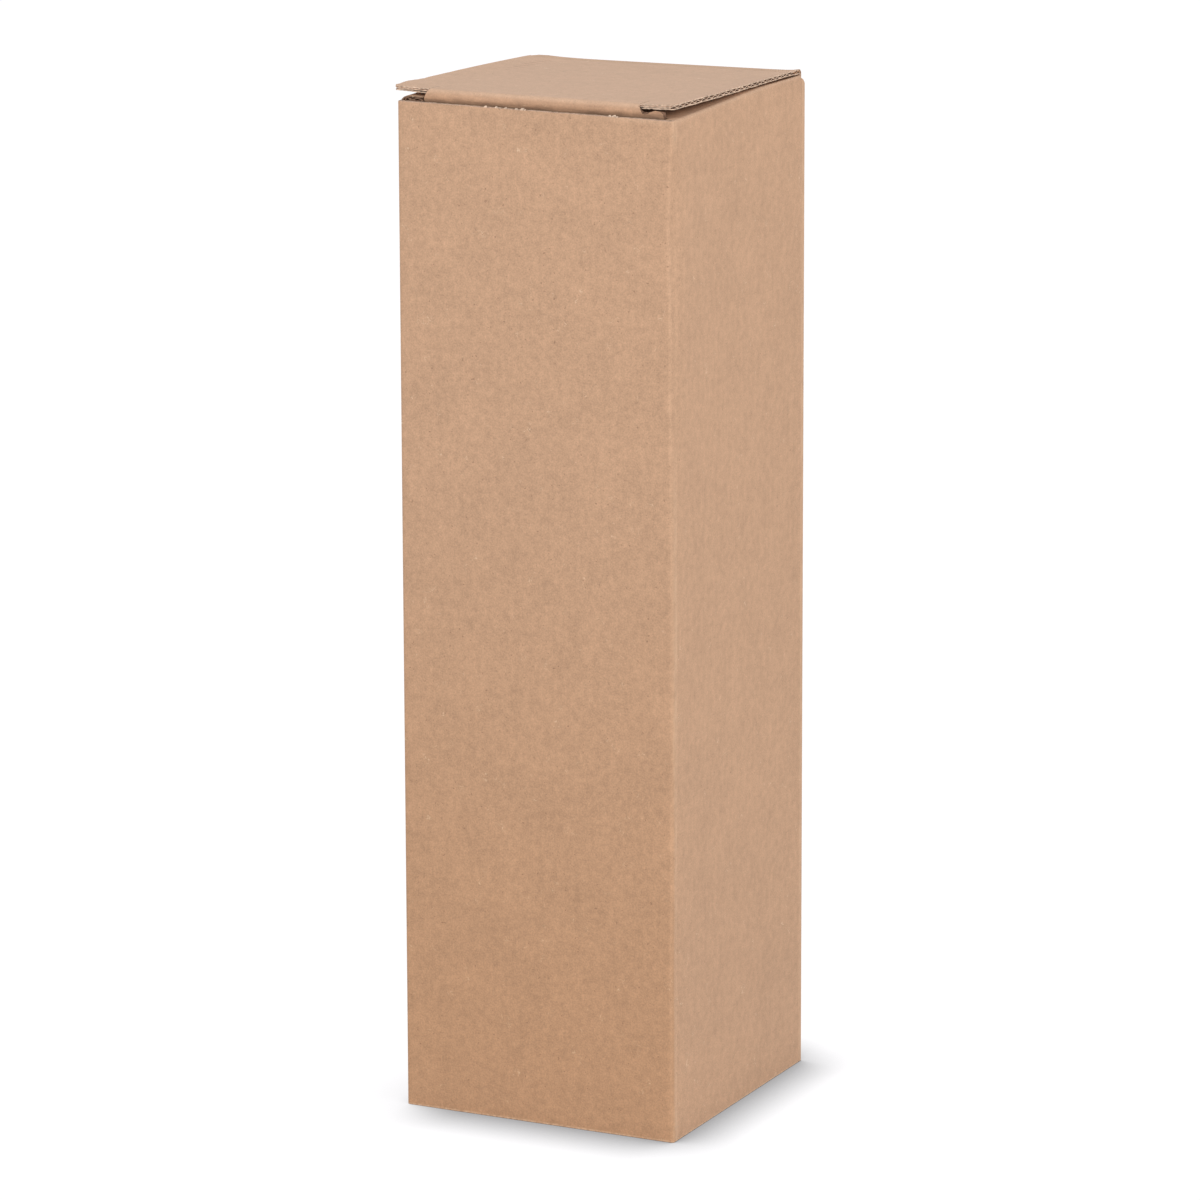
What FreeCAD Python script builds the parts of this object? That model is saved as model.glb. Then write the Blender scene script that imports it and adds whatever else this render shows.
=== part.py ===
import FreeCAD, Part
import math
import os
import Sketcher

# A tall carton for one bottle, folded from a single sheet of fine-fluted brown board.
# Millimetres. The origin is at the middle of the base, the front faces -Y and +Z is up.
# Four walls are one band, closed by a glued flap inside the back wall. The base is a
# snap-lock of four flaps. Two dust flaps lie under the lid, which hinges on the back
# wall's top crease and holds shut with a tuck flap behind the front wall.

SIZES = {
    # Band of walls
    "outer_width": 80.0,
    "outer_depth": 82.4,
    "front_edge_height": 274.3,
    "board": 1.5,
    "corner_radius": 1.0,
    "layer_gap": 0.15,
    # Flutes, seen where the board is cut across them
    "flute_pitch": 3.3,
    "flute_mouth": 2.6,
    "flute_bottom": 0.6,
    "liner": 0.25,
    "medium": 0.2,
    # Glued flap inside the back wall
    "glue_width": 13.0,
    "glue_end_gap": 12.0,
    "glue_taper": 9.0,
    "seam_setback": 0.3,
    "seam_bevel": 0.8,
    # Dust flaps on the side walls
    "dust_fold_rise": 1.3,
    "dust_fold_radius": 1.6,
    "dust_length": 31.0,
    "dust_front_setback": 1.95,
    "dust_back_setback": 3.0,
    "dust_taper": 5.0,
    # Lid with its ears
    "lid_rest_gap": 0.1,
    "crease_radius": 1.5,
    "crease_left": 39.4,
    "crease_right": 38.6,
    "ear_left": 42.3,
    "ear_right": 38.7,
    "ear_setback": 2.8,
    "ear_corner": 1.2,
    "lid_pitch": 0.7,
    # Tuck flap at the front of the lid
    "roll_inner_radius": 0.6,
    "tuck_gap": 0.3,
    "tuck_length": 18.0,
    "tuck_corner": 7.0,
    "tuck_left": 33.0,
    "tuck_right": 36.3,
    "slit_left": 31.8,
    "slit_right": 28.9,
    "slit_clearance": 0.25,
    "shoulder_drop": 0.6,
    # Snap-lock base
    "side_base_rise": 0.4,
    "base_fold_radius": 1.2,
    "fold_inset": 0.8,
    "side_step": 2.4,
    "back_step": 5.0,
    "front_flap_reach": 42.5,
    "front_flap_shoulder": 4.6,
    "shoulder_length": 4.0,
    "tongue_width": 36.0,
    "tongue_step": 10.0,
    "tongue_length": 12.0,
    "tongue_corner": 5.0,
    "side_flap_reach": 35.0,
    "side_flap_front": 4.5,
    "side_flap_back": 8.5,
    "side_flap_taper": 8.0,
    "side_flap_point": 26.0,
    "back_flap_reach": 52.0,
    "back_flap_inset": 2.1,
    "back_notch_width": 40.0,
    "back_notch_depth": 26.0,
}

PLANES = {"XY": "XY_Plane", "XZ": "XZ_Plane", "YZ": "YZ_Plane"}


class Size:
    """A length that knows its value and the expression that gives it from the sheet."""

    def __init__(self, value, text):
        self.value = value
        self.text = text

    def __add__(self, other):
        return Size(self.value + other.value, "(" + self.text + " + " + other.text + ")")

    def __sub__(self, other):
        return Size(self.value - other.value, "(" + self.text + " - " + other.text + ")")

    def __mul__(self, factor):
        return Size(self.value * factor, "(" + self.text + " * " + repr(float(factor)) + ")")

    def __neg__(self):
        return self * -1

    def half(self):
        return self * 0.5


def fill_sheet(doc):
    """Put every driving size in the sheet and return them by name."""
    sheet = doc.addObject("Spreadsheet::Sheet", "Sizes")
    sizes = {}
    for row, (alias, value) in enumerate(SIZES.items(), start=1):
        sheet.set("A" + str(row), alias)
        sheet.set("B" + str(row), str(value))
        sheet.setAlias("B" + str(row), alias)
        sizes[alias] = Size(value, "Sizes." + alias)
    doc.recompute()
    return sizes


def add_sketch(body, name, plane, offset):
    """A sketch on one of the body's own planes, moved along that plane's normal."""
    sketch = body.newObject("Sketcher::SketchObject", name)
    for feature in body.Origin.OriginFeatures:
        if feature.Role == PLANES[plane]:
            sketch.AttachmentSupport = [(feature, "")]
    sketch.MapMode = "FlatFace"
    sketch.setExpression("AttachmentOffset.Base.z", offset.text)
    return sketch


def arc_between(start, end, radius, turn):
    """The short arc from start to end, counter-clockwise when turn is 1."""
    middle = (start + end) * 0.5
    chord = end - start
    left = FreeCAD.Vector(-chord.y, chord.x, 0).normalize()
    rise = math.sqrt(max(radius * radius - chord.Length * chord.Length / 4, 0.0))
    centre = middle + left * rise * turn
    first, last = (start, end) if turn > 0 else (end, start)
    circle = Part.Circle(centre, FreeCAD.Vector(0, 0, 1), radius)
    angles = [math.atan2(point.y - centre.y, point.x - centre.x) for point in (first, last)]
    return Part.ArcOfCircle(circle, angles[0], angles[1])


def draw_loop(sketch, corners):
    """A closed loop. A corner is (across, up), or (across, up, radius, turn) before an arc."""
    edges = []
    points = [FreeCAD.Vector(corner[0].value, corner[1].value, 0) for corner in corners]
    for index, corner in enumerate(corners):
        start = points[index]
        end = points[(index + 1) % len(points)]
        if len(corner) == 4:
            radius, turn = corner[2], corner[3]
            edge = sketch.addGeometry(arc_between(start, end, radius.value, turn), False)
            number = sketch.addConstraint(Sketcher.Constraint("Radius", edge, radius.value))
            sketch.setExpression("Constraints[" + str(number) + "]", radius.text)
            edges.append((edge, 1, 2) if turn > 0 else (edge, 2, 1))
        else:
            edge = sketch.addGeometry(Part.LineSegment(start, end), False)
            edges.append((edge, 1, 2))
    for index, corner in enumerate(corners):
        edge, begin, _ = edges[index]
        before, _, finish = edges[index - 1]
        sketch.addConstraint(Sketcher.Constraint("Coincident", before, finish, edge, begin))
        for kind, size in (("DistanceX", corner[0]), ("DistanceY", corner[1])):
            rule = Sketcher.Constraint(kind, -1, 1, edge, begin, size.value)
            number = sketch.addConstraint(rule)
            sketch.setExpression("Constraints[" + str(number) + "]", size.text)


def pad(body, name, plane, start, end, *loops):
    """Material between two places along the plane's normal, inside the loops."""
    sketch = add_sketch(body, name + "_outline", plane, start)
    for loop in loops:
        draw_loop(sketch, loop)
    feature = body.newObject("PartDesign::Pad", name)
    feature.Profile = sketch
    feature.setExpression("Length", (end - start).text)
    body.Tip = feature
    return feature


def cut(body, name, plane, start, end, *loops):
    """Removes what lies inside the loops between two places along the plane's normal."""
    sketch = add_sketch(body, name + "_outline", plane, end)
    for loop in loops:
        draw_loop(sketch, loop)
    feature = body.newObject("PartDesign::Pocket", name)
    feature.Profile = sketch
    feature.setExpression("Length", (end - start).text)
    body.Tip = feature
    return feature


def rectangle(left, low, right, high):
    return [(left, low), (right, low), (right, high), (left, high)]


def flute(size, across, low):
    """The voids above and below the wavy medium, for one flute of board that lies on low."""
    mouth = size["flute_mouth"].half()
    bottom = size["flute_bottom"].half()
    floor = low + size["liner"]
    roof = low + size["board"] - size["liner"]
    trough = floor + size["medium"]
    crest = roof - size["medium"]
    beside = across + size["flute_pitch"].half()
    above = [(across - bottom, trough), (across + bottom, trough), (across + mouth, roof), (across - mouth, roof)]
    below = [(beside - mouth, floor), (beside + mouth, floor), (beside + bottom, crest), (beside - bottom, crest)]
    return above, below


def repeat(body, name, feature, axis, first, last, pitch):
    """A row of the feature along one of the body's axes, as many as fit between two places."""
    pattern = body.newObject("PartDesign::LinearPattern", name)
    pattern.Originals = [feature]
    for line in body.Origin.OriginFeatures:
        if line.Role == axis:
            pattern.Direction = (line, [""])
    steps = math.floor((last - first).value / pitch.value)
    pattern.setExpression("Length", (pitch * steps).text)
    pattern.Occurrences = steps + 1
    body.Tip = pattern


def add_walls(body, size):
    """The band of four walls, cut level with the front edge, with the glued seam at back left."""
    half_width = size["outer_width"].half()
    half_depth = size["outer_depth"].half()
    board = size["board"]
    radius = size["corner_radius"]
    bevel = size["seam_bevel"]
    seam = -half_width + size["seam_setback"]
    lap = half_depth - board
    outside = [
        (-half_width + radius, -half_depth),
        (half_width - radius, -half_depth, radius, 1),
        (half_width, -half_depth + radius),
        (half_width, half_depth - radius, radius, 1),
        (half_width - radius, half_depth),
        (seam, half_depth),
        (seam, lap),
        (-half_width + bevel, lap),
        (-half_width, lap - bevel),
        (-half_width, -half_depth + radius, radius, 1),
    ]
    inside = rectangle(-half_width + board, -half_depth + board, half_width - board, half_depth - board)
    pad(body, "walls", "XY", size["side_base_rise"], size["front_edge_height"], outside, inside)


def add_glue_flap(body, size):
    """The flap of the left wall that is glued inside the back wall."""
    half_depth = size["outer_depth"].half()
    board = size["board"]
    root = -size["outer_width"].half() + board
    free = root + size["glue_width"]
    low = size["side_base_rise"] + size["glue_end_gap"]
    high = size["front_edge_height"] - size["glue_end_gap"]
    taper = size["glue_taper"]
    outline = [(root, low), (free, low + taper), (free, high - taper), (root, high)]
    pad(body, "glue_flap", "XZ", board - half_depth, board + board - half_depth, outline)


def add_dust_flaps(body, size):
    """Two flaps folded in from the side walls, notched in front for the tuck flap."""
    half_width = size["outer_width"].half()
    half_depth = size["outer_depth"].half()
    board = size["board"]
    radius = size["dust_fold_radius"]
    top = dust_top(size)
    free = size["dust_length"] - half_width
    section = [
        (-half_width, size["front_edge_height"] - board),
        (board - half_width, size["front_edge_height"] - board),
        (board - half_width, top - board),
        (free, top - board),
        (free, top),
        (radius - half_width, top, radius, 1),
        (-half_width, top - radius),
    ]
    back = size["dust_back_setback"] - half_depth
    front = half_depth - size["dust_front_setback"]
    pad(body, "left_dust_flap", "XZ", back, front, section)
    mirror = body.newObject("PartDesign::Mirrored", "right_dust_flap")
    mirror.Originals = [body.getObject("left_dust_flap")]
    for feature in body.Origin.OriginFeatures:
        if feature.Role == PLANES["YZ"]:
            mirror.MirrorPlane = (feature, [""])
    body.Tip = mirror


def shape_dust_flaps(body, size):
    """Cuts the tuck flap's place and the slanted back edges out of the dust flaps."""
    half_width = size["outer_width"].half()
    half_depth = size["outer_depth"].half()
    board = size["board"]
    gap = size["tuck_gap"]
    low = dust_top(size) - board - board
    high = dust_top(size) + board
    notch = -half_depth + board + board + gap + gap
    edges = (-size["tuck_left"] - gap, size["tuck_right"] + gap)
    cut(body, "tuck_notch", "XY", low, high, rectangle(edges[0], -half_depth + board, edges[1], notch))
    back = half_depth - size["dust_back_setback"]
    taper = size["dust_taper"]
    inner = half_width - size["dust_length"]
    root = half_width - board - board
    for name, side in (("left_dust_taper", -1), ("right_dust_taper", 1)):
        wedge = [
            (root, back),
            (root, back + board),
            (inner - board, back + board),
            (inner - board, back - taper),
        ]
        cut(body, name, "XY", low, high, mirrored(wedge, side))


def add_dust_flutes(body, size):
    """The flutes of both dust flaps, open at their front and back edges."""
    half_width = size["outer_width"].half()
    half_depth = size["outer_depth"].half()
    board = size["board"]
    pitch = size["flute_pitch"]
    low = dust_top(size) - board
    fold = size["dust_fold_radius"] + pitch.half()
    free = size["dust_length"] - pitch
    back = board + size["layer_gap"] - half_depth
    front = half_depth - board
    loops = flute(size, fold - half_width, low) + flute(size, half_width - free, low)
    first = cut(body, "dust_flute", "XZ", back, front, *loops)
    repeat(body, "dust_flutes", first, "X_Axis", fold, free, pitch)


def add_back_crease(body, size):
    """The back wall's top, up to the mitre where the lid hinges."""
    half_depth = size["outer_depth"].half()
    board = size["board"]
    radius = size["crease_radius"]
    low = size["front_edge_height"] - board
    top = lid_top(size)
    middle = radius * (1 - math.sqrt(0.5))
    section = [
        (half_depth - board, low),
        (half_depth, low),
        (half_depth, top - radius, radius, 1),
        (half_depth - middle, top - middle),
        (half_depth - board, top - board),
    ]
    pad(body, "back_crease", "YZ", -size["crease_left"], size["crease_right"], section)


def dust_top(size):
    """The level of the dust flaps' upper faces, above the front wall's cut edge."""
    return size["front_edge_height"] + size["dust_fold_rise"]


def lid_top(size):
    """The level of the lid's upper face at its crease."""
    return dust_top(size) + size["lid_rest_gap"] + size["board"]


def add_front_base_flap(body, size):
    """The outer flap of the base, folded back from the front wall."""
    half_width = size["outer_width"].half()
    board = size["board"]
    fold = size["base_fold_radius"]
    floor = Size(0.0, "0")
    front = -size["outer_depth"].half()
    reach = front + size["front_flap_reach"]
    root = half_width - size["fold_inset"]
    section = [
        (front, board + fold + board),
        (front, fold, fold, 1),
        (front + fold, floor),
        (reach, floor),
        (reach, board),
        (front + board, board),
        (front + board, board + fold + board),
    ]
    pad(body, "front_base_flap", "YZ", -root, root, section)
    side = half_width - size["front_flap_shoulder"]
    for name, sign in (("front_flap_left_side", -1), ("front_flap_right_side", 1)):
        waste = [
            (half_width, front + fold),
            (half_width, reach + board),
            (side, reach + board),
            (side, front + size["shoulder_length"]),
            (root, front + fold),
        ]
        cut(body, name, "XY", -board, board + fold, mirrored(waste, sign))


def add_side_base_flaps(body, size):
    """The two middle flaps of the base, stepped up over the front flap."""
    half_width = size["outer_width"].half()
    half_depth = size["outer_depth"].half()
    board = size["board"]
    rise = size["side_base_rise"]
    level = board + size["layer_gap"]
    foot = half_width - board - size["fold_inset"]
    step = foot - size["side_step"]
    reach = half_width - size["side_flap_reach"]
    section = [
        (foot + board, rise),
        (foot + board, rise + board),
        (foot, rise + board),
        (step, level + board),
        (reach, level + board),
        (reach, level),
        (step, level),
        (foot, rise),
    ]
    front = size["side_flap_front"] - half_depth
    back = half_depth - size["side_flap_back"]
    lock = (size["tongue_width"] + board + board).half()
    taper = size["side_flap_taper"]
    point = size["side_flap_point"] - half_depth
    opening = size["front_flap_reach"] - half_depth - board
    inner_waste = [
        (reach - board, point),
        (reach, point),
        (lock, opening),
        (lock, back - taper),
        (lock + taper, back + board),
        (reach - board, back + board),
    ]
    front_waste = [
        (reach - board, front - board),
        (step - board, front - board),
        (reach, front + taper),
        (reach - board, front + taper),
    ]
    gap = size["layer_gap"].half()
    for name, sign in (("left_base_flap", -1), ("right_base_flap", 1)):
        pad(body, name, "XZ", -back, -front, mirrored(section, sign))
        for suffix, waste in (("_lock_edge", inner_waste), ("_front_edge", front_waste)):
            cut(body, name + suffix, "XY", level - gap, level + board + gap, mirrored(waste, sign))


def add_back_base_flap(body, size):
    """The inner flap of the base, folded first, with the notch that the tongue goes through."""
    half_width = size["outer_width"].half()
    half_depth = size["outer_depth"].half()
    board = size["board"]
    gap = size["layer_gap"]
    rise = size["side_base_rise"]
    level = board + gap + board + gap
    foot = half_depth - board - size["fold_inset"]
    step = foot - size["back_step"]
    reach = half_depth - size["back_flap_reach"]
    section = [
        (foot + board, rise),
        (foot + board, rise + board),
        (foot, rise + board),
        (step, level + board),
        (reach, level + board),
        (reach, level),
        (step, level),
        (foot, rise),
    ]
    side = half_width - size["back_flap_inset"]
    pad(body, "back_base_flap", "YZ", -side, side, section)
    half_notch = size["back_notch_width"].half()
    notch = rectangle(-half_notch, reach - board, half_notch, reach + size["back_notch_depth"])
    cut(body, "back_base_notch", "XY", level - gap.half(), level + board + gap.half(), notch)


def add_tongue(body, size):
    """The front flap's tongue, which rises through the lock and lies on the back flap."""
    board = size["board"]
    gap = size["layer_gap"]
    floor = Size(0.0, "0")
    layer = board + gap
    level = layer + layer + layer
    reach = size["front_flap_reach"] - size["outer_depth"].half()
    step = reach + size["tongue_step"]
    tip = step + size["tongue_length"]
    section = [
        (reach - board, floor),
        (reach, floor),
        (step, level),
        (tip, level),
        (tip, level + board),
        (step, level + board),
        (reach, board),
        (reach - board, board),
    ]
    side = size["tongue_width"].half()
    pad(body, "base_tongue", "YZ", -side, side, section)
    corner = size["tongue_corner"]
    for name, sign in (("tongue_left_corner", -1), ("tongue_right_corner", 1)):
        waste = [(side, tip - corner), (side + board, tip), (side, tip + board), (side - corner, tip)]
        cut(body, name, "XY", level, level + board, mirrored(waste, sign))


def mirrored(corners, sign):
    """The same loop, or its mirror image across the middle with its sense kept."""
    if sign > 0:
        return corners
    return [(-corner[0], corner[1]) for corner in reversed(corners)]


def make_carton(doc, size):
    """Walls, dust flaps and base: everything that stands still when the lid opens."""
    body = doc.addObject("PartDesign::Body", "carton")
    body.Label = "carton"
    add_front_base_flap(body, size)
    add_walls(body, size)
    add_glue_flap(body, size)
    add_side_base_flaps(body, size)
    add_back_base_flap(body, size)
    add_tongue(body, size)
    add_dust_flaps(body, size)
    shape_dust_flaps(body, size)
    add_dust_flutes(body, size)
    add_back_crease(body, size)
    return body


def make_lid(doc, size):
    """Lid panel, ears and tuck flap, drawn level with the hinge line as its own origin."""
    body = doc.addObject("PartDesign::Body", "lid")
    body.Label = "lid"
    radius = size["crease_radius"]
    board = size["board"]
    half_depth = size["outer_depth"].half()
    middle = radius * (1 - math.sqrt(0.5))
    hinge = half_depth - middle
    add_tuck_flap(body, size, middle, hinge)

    ear = size["ear_setback"] - half_depth - hinge
    foot = ear + size["roll_inner_radius"] + board
    left = -size["ear_left"]
    right = size["ear_right"]
    corner = size["ear_corner"]
    left_slit = -size["slit_left"] - size["slit_clearance"]
    right_slit = size["slit_right"] + size["slit_clearance"]
    outline = [
        (left + corner, ear),
        (left_slit, ear),
        (left_slit, foot),
        (right_slit, foot),
        (right_slit, ear),
        (right - corner, ear, corner, 1),
        (right, ear + corner),
        (size["crease_right"], middle * 0),
        (-size["crease_left"], middle * 0),
        (left, ear + corner, corner, 1),
    ]
    pad(body, "panel", "XY", middle - board, middle, outline)
    tangent = middle - radius
    inner = middle - board
    beyond = [
        (inner, inner),
        (inner, inner - radius),
        (radius, inner - radius),
        (radius, middle + radius),
        (tangent, middle + radius),
        (tangent, middle, radius, -1),
        (middle * 0, middle * 0),
    ]
    cut(body, "mitre", "YZ", -size["ear_left"] - radius, size["ear_right"] + radius, beyond)
    pitch = size["flute_pitch"]
    start = foot + pitch.half()
    loops = flute(size, start, middle - board)
    first = cut(body, "lid_flute", "YZ", -size["ear_left"] - board, size["ear_right"] + board, *loops)
    repeat(body, "lid_flutes", first, "Y_Axis", start, -pitch, pitch)

    body.setExpression("Placement.Base.y", hinge.text)
    body.setExpression("Placement.Base.z", (lid_top(size) - middle).text)
    body.Placement.Rotation = FreeCAD.Rotation(FreeCAD.Vector(-1, 0, 0), SIZES["lid_pitch"])
    body.setExpression("Placement.Rotation.Angle", size["lid_pitch"].text)
    return body


def add_tuck_flap(body, size, top, hinge):
    """The soft roll and the tuck flap, which curls on a circle about the hinge."""
    board = size["board"]
    half_depth = size["outer_depth"].half()
    ear = size["ear_setback"] - half_depth - hinge
    reach = hinge + half_depth - board - size["tuck_gap"]
    roll = size["roll_inner_radius"] + board
    sketch = add_sketch(body, "tuck_flap_outline", "YZ", -size["tuck_left"])
    draw_tuck_section(sketch, size, top, reach, roll, ear + roll)
    feature = body.newObject("PartDesign::Pad", "tuck_flap")
    feature.Profile = sketch
    feature.setExpression("Length", (size["tuck_left"] + size["tuck_right"]).text)
    body.Tip = feature

    left = -size["tuck_left"]
    right = size["tuck_right"]
    tip = -size["tuck_length"]
    corner = size["tuck_corner"]
    high = top - board - size["slit_clearance"]
    low = high - size["shoulder_drop"]
    above = top + roll
    outline = [
        (left + corner, tip),
        (right - corner, tip, corner, 1),
        (right, tip + corner),
        (right, low),
        (size["slit_right"], high),
        (size["slit_right"], above),
        (-size["slit_left"], above),
        (-size["slit_left"], high),
        (left, low),
        (left, tip + corner, corner, 1),
    ]
    around = rectangle(left - roll, tip - roll, right + roll, above + roll)
    cut(body, "tuck_shape", "XZ", Size(0.0, "0"), reach + roll, around, outline)


def draw_tuck_section(sketch, size, top, reach, roll, foot):
    """Level board, the roll and the curled flap, all one thickness of board."""
    board = size["board"]
    inner_roll = roll - board
    inner_reach = reach - board
    drop = top.value - roll.value
    across = -math.sqrt((reach.value - roll.value) ** 2 - drop ** 2)
    centre = FreeCAD.Vector(across, drop, 0)
    origin = FreeCAD.Vector(0, 0, 0)
    meet = math.atan2(drop, across) % (2 * math.pi)
    tip = math.pi + math.asin(size["tuck_length"].value / reach.value)
    normal = FreeCAD.Vector(0, 0, 1)

    def arc(middle, radius, first, last):
        edge = sketch.addGeometry(Part.ArcOfCircle(Part.Circle(middle, normal, radius.value), first, last), False)
        number = sketch.addConstraint(Sketcher.Constraint("Radius", edge, radius.value))
        sketch.setExpression("Constraints[" + str(number) + "]", radius.text)
        return edge

    def line(start, end):
        points = [FreeCAD.Vector(point[0], point[1], 0) for point in (start, end)]
        return sketch.addGeometry(Part.LineSegment(points[0], points[1]), False)

    def rule(*parts):
        return sketch.addConstraint(Sketcher.Constraint(*parts))

    def on_circle(radius, angle):
        return radius.value * math.cos(angle), radius.value * math.sin(angle)

    low = top - board
    upper = line((foot.value, top.value), (across, top.value))
    outer_roll_arc = arc(centre, roll, math.pi / 2, meet)
    outer_arc = arc(origin, reach, meet, tip)
    end = line(on_circle(reach, tip), on_circle(inner_reach, tip))
    inner_arc = arc(origin, inner_reach, meet, tip)
    inner_roll_arc = arc(centre, inner_roll, math.pi / 2, meet)
    under = line((across, low.value), (foot.value, low.value))
    back = line((foot.value, low.value), (foot.value, top.value))

    rule("Tangent", upper, 2, outer_roll_arc, 1)
    rule("Tangent", outer_roll_arc, 2, outer_arc, 1)
    rule("Coincident", outer_arc, 2, end, 1)
    rule("Coincident", end, 2, inner_arc, 2)
    rule("Tangent", inner_arc, 1, inner_roll_arc, 2)
    rule("Tangent", inner_roll_arc, 1, under, 1)
    rule("Coincident", under, 2, back, 1)
    rule("Coincident", back, 2, upper, 1)
    rule("Coincident", outer_arc, 3, -1, 1)
    rule("Coincident", inner_arc, 3, -1, 1)
    rule("Horizontal", upper)
    rule("Horizontal", under)
    rule("Vertical", back)
    rule("PointOnObject", -1, 1, end)
    for kind, edge, point, length in (
        ("DistanceX", back, 2, foot),
        ("DistanceY", back, 2, top),
        ("DistanceY", back, 1, low),
        ("DistanceY", outer_arc, 2, -size["tuck_length"]),
    ):
        number = rule(kind, -1, 1, edge, point, length.value)
        sketch.setExpression("Constraints[" + str(number) + "]", length.text)


def check(doc, names):
    """Stops when an object failed, a cut removed nothing or a piece isn't one valid solid."""
    for thing in doc.Objects:
        if "Invalid" in thing.State or "Error" in thing.State:
            raise RuntimeError(thing.Name + " failed: " + str(thing.State))
        if thing.TypeId == "PartDesign::Pocket":
            before = thing.BaseFeature.Shape.Volume
            if before - thing.Shape.Volume < 1e-6:
                raise RuntimeError(thing.Name + " cuts nothing")
    for name in names:
        shape = doc.getObject(name).Shape
        if shape.isNull() or not shape.isValid() or len(shape.Solids) != 1:
            raise RuntimeError(name + " isn't one valid solid")


def main():
    doc = FreeCAD.newDocument("bottle_carton")
    size = fill_sheet(doc)
    pieces = [make_carton(doc, size), make_lid(doc, size)]
    doc.recompute()
    check(doc, [piece.Name for piece in pieces])
    os.makedirs("parts", exist_ok=True)
    for piece in pieces:
        piece.Shape.exportStep("parts/" + piece.Label + ".step")


main()
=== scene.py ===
import math

import bpy
import numpy as np
from mathutils import Matrix, Vector


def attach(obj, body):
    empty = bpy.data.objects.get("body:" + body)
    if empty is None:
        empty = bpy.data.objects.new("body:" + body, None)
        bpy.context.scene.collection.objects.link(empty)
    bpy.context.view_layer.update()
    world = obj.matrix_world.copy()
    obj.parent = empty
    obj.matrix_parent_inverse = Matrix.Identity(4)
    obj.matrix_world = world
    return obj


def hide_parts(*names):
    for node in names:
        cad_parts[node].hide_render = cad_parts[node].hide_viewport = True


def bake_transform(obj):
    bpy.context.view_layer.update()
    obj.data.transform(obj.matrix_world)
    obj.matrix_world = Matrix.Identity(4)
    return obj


# A tall kraft carton for one bottle, looked at in a white studio, with x to the right, y to the
# back and z up from the floor. Lengths are in millimetres up to the point where a mesh is made,
# and in metres in the materials and for the lamps. Every sheet is real fluted board: two liners
# with a wavy medium between them.

MM = 0.001

# Board
BOARD = 1.5
LINER = 0.36
MEDIUM = 0.26
PITCH = 3.3
WAVE_STEPS = 8
FINE_CELL = 0.5
FINE_STEP = 3
COARSE_STEP = 8
SHARP = math.radians(35)
NEAR_ZERO = 1e-6

# Band of walls
HALF_WIDTH = 40.0
HALF_DEPTH = 41.2
CUT = 274.3
WALL_RADIUS = 1.0
WALL_CRUSH = 0.58
CRUSH_REACH = 0.9
WALL_FOOT = 4.0
POST_FOOT = 0.1
RIM = 1.2
FLAP_ROOT = CUT - 3.5
SEAM_X = -39.7
GLUE_FREE_X = -25.5
GLUE_Y = HALF_DEPTH - BOARD
GLUE_END = 12.0
GLUE_TAPER = 9.0
WALL_NAMES = ("glue", "bend", "left", "bend", "front", "bend", "right", "bend", "back")
BENDS = (1, 3, 5, 7)
BEND_STEPS = 6
WALL_STEP = 5.5
EDGE_STEPS = (0.8, 1.6, 3.0)
RIM_STEPS = 130

# Wear on the walls. A dent of the near vertical edge is its depth, its height and its reach.
DENTS = ((1.0, 246.0, 24.0), (0.4, 198.0, 26.0), (0.32, 42.0, 40.0))
DENT_LEAST = 0.12
DENT_WAVE = 0.05
DENT_WAVE_REACH = 6.1
DENT_WIDE = 5.0
DENT_DEEP = 2.0
RIM_LEAN = 0.22
LEAN_START = 8.0
LEAN_RUN = 24.0
CORNER_SINK = 2.0
CORNER_SPREAD = 2.2
# The cut edge is uneven in waves of a height, a size and a seed.
RAGGED = ((0.09, 5.0, 3), (0.07, 1.3, 4))
# Each torn spot on the front edge is its place along the edge, its width, its lean and its height.
TUFTS = (
    (-14.2, 0.8, 0.15, 0.55), (-10.8, 0.85, -0.2, 0.6), (-10.1, 0.6, 0.3, 0.4), (-8.4, 0.9, 0.2, 0.55),
    (-4.9, 1.1, -0.3, 0.5), (-3.6, 1.2, 0.35, 0.65), (-2.8, 0.6, 0.2, 0.4),
    (22.0, 0.9, -0.25, 0.55), (22.8, 1.2, 0.3, 0.62), (23.7, 0.6, 0.2, 0.4),
)
TUFT_CURL = 1.9
TUFT_TAPER = 0.55
TUFT_INSET = 0.16
TUFT_SINK = 0.12
TUFT_RIDGE = 0.06
TUFT_SIDE = (1.0, 0.1, 0.0)
TUFT_THICKNESS = (0.0, 0.09, -0.05)

# Dust flaps
FOLD_RISE = 1.3
FOLD_RADIUS_LEFT = 2.4
FOLD_RADIUS_RIGHT = 1.0
DUST_LENGTH = 31.0
DUST_FRONT = -HALF_DEPTH + 1.95
DUST_NOTCH = -HALF_DEPTH + 4.6
DUST_BACK = HALF_DEPTH - 3.05
DUST_TAPER = 5.0
NOTCH_LEFT = 33.3
NOTCH_RIGHT = 36.6
DUST_SLOPE = 0.02
DUST_GAP = 0.15
RIGHT_SINK = 1.35
RIGHT_SINK_START = 20.0
RIGHT_SINK_RUN = 60.0
SETTLE_START = FLAP_ROOT + 0.4
SETTLE_RISE = 2.5

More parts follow.
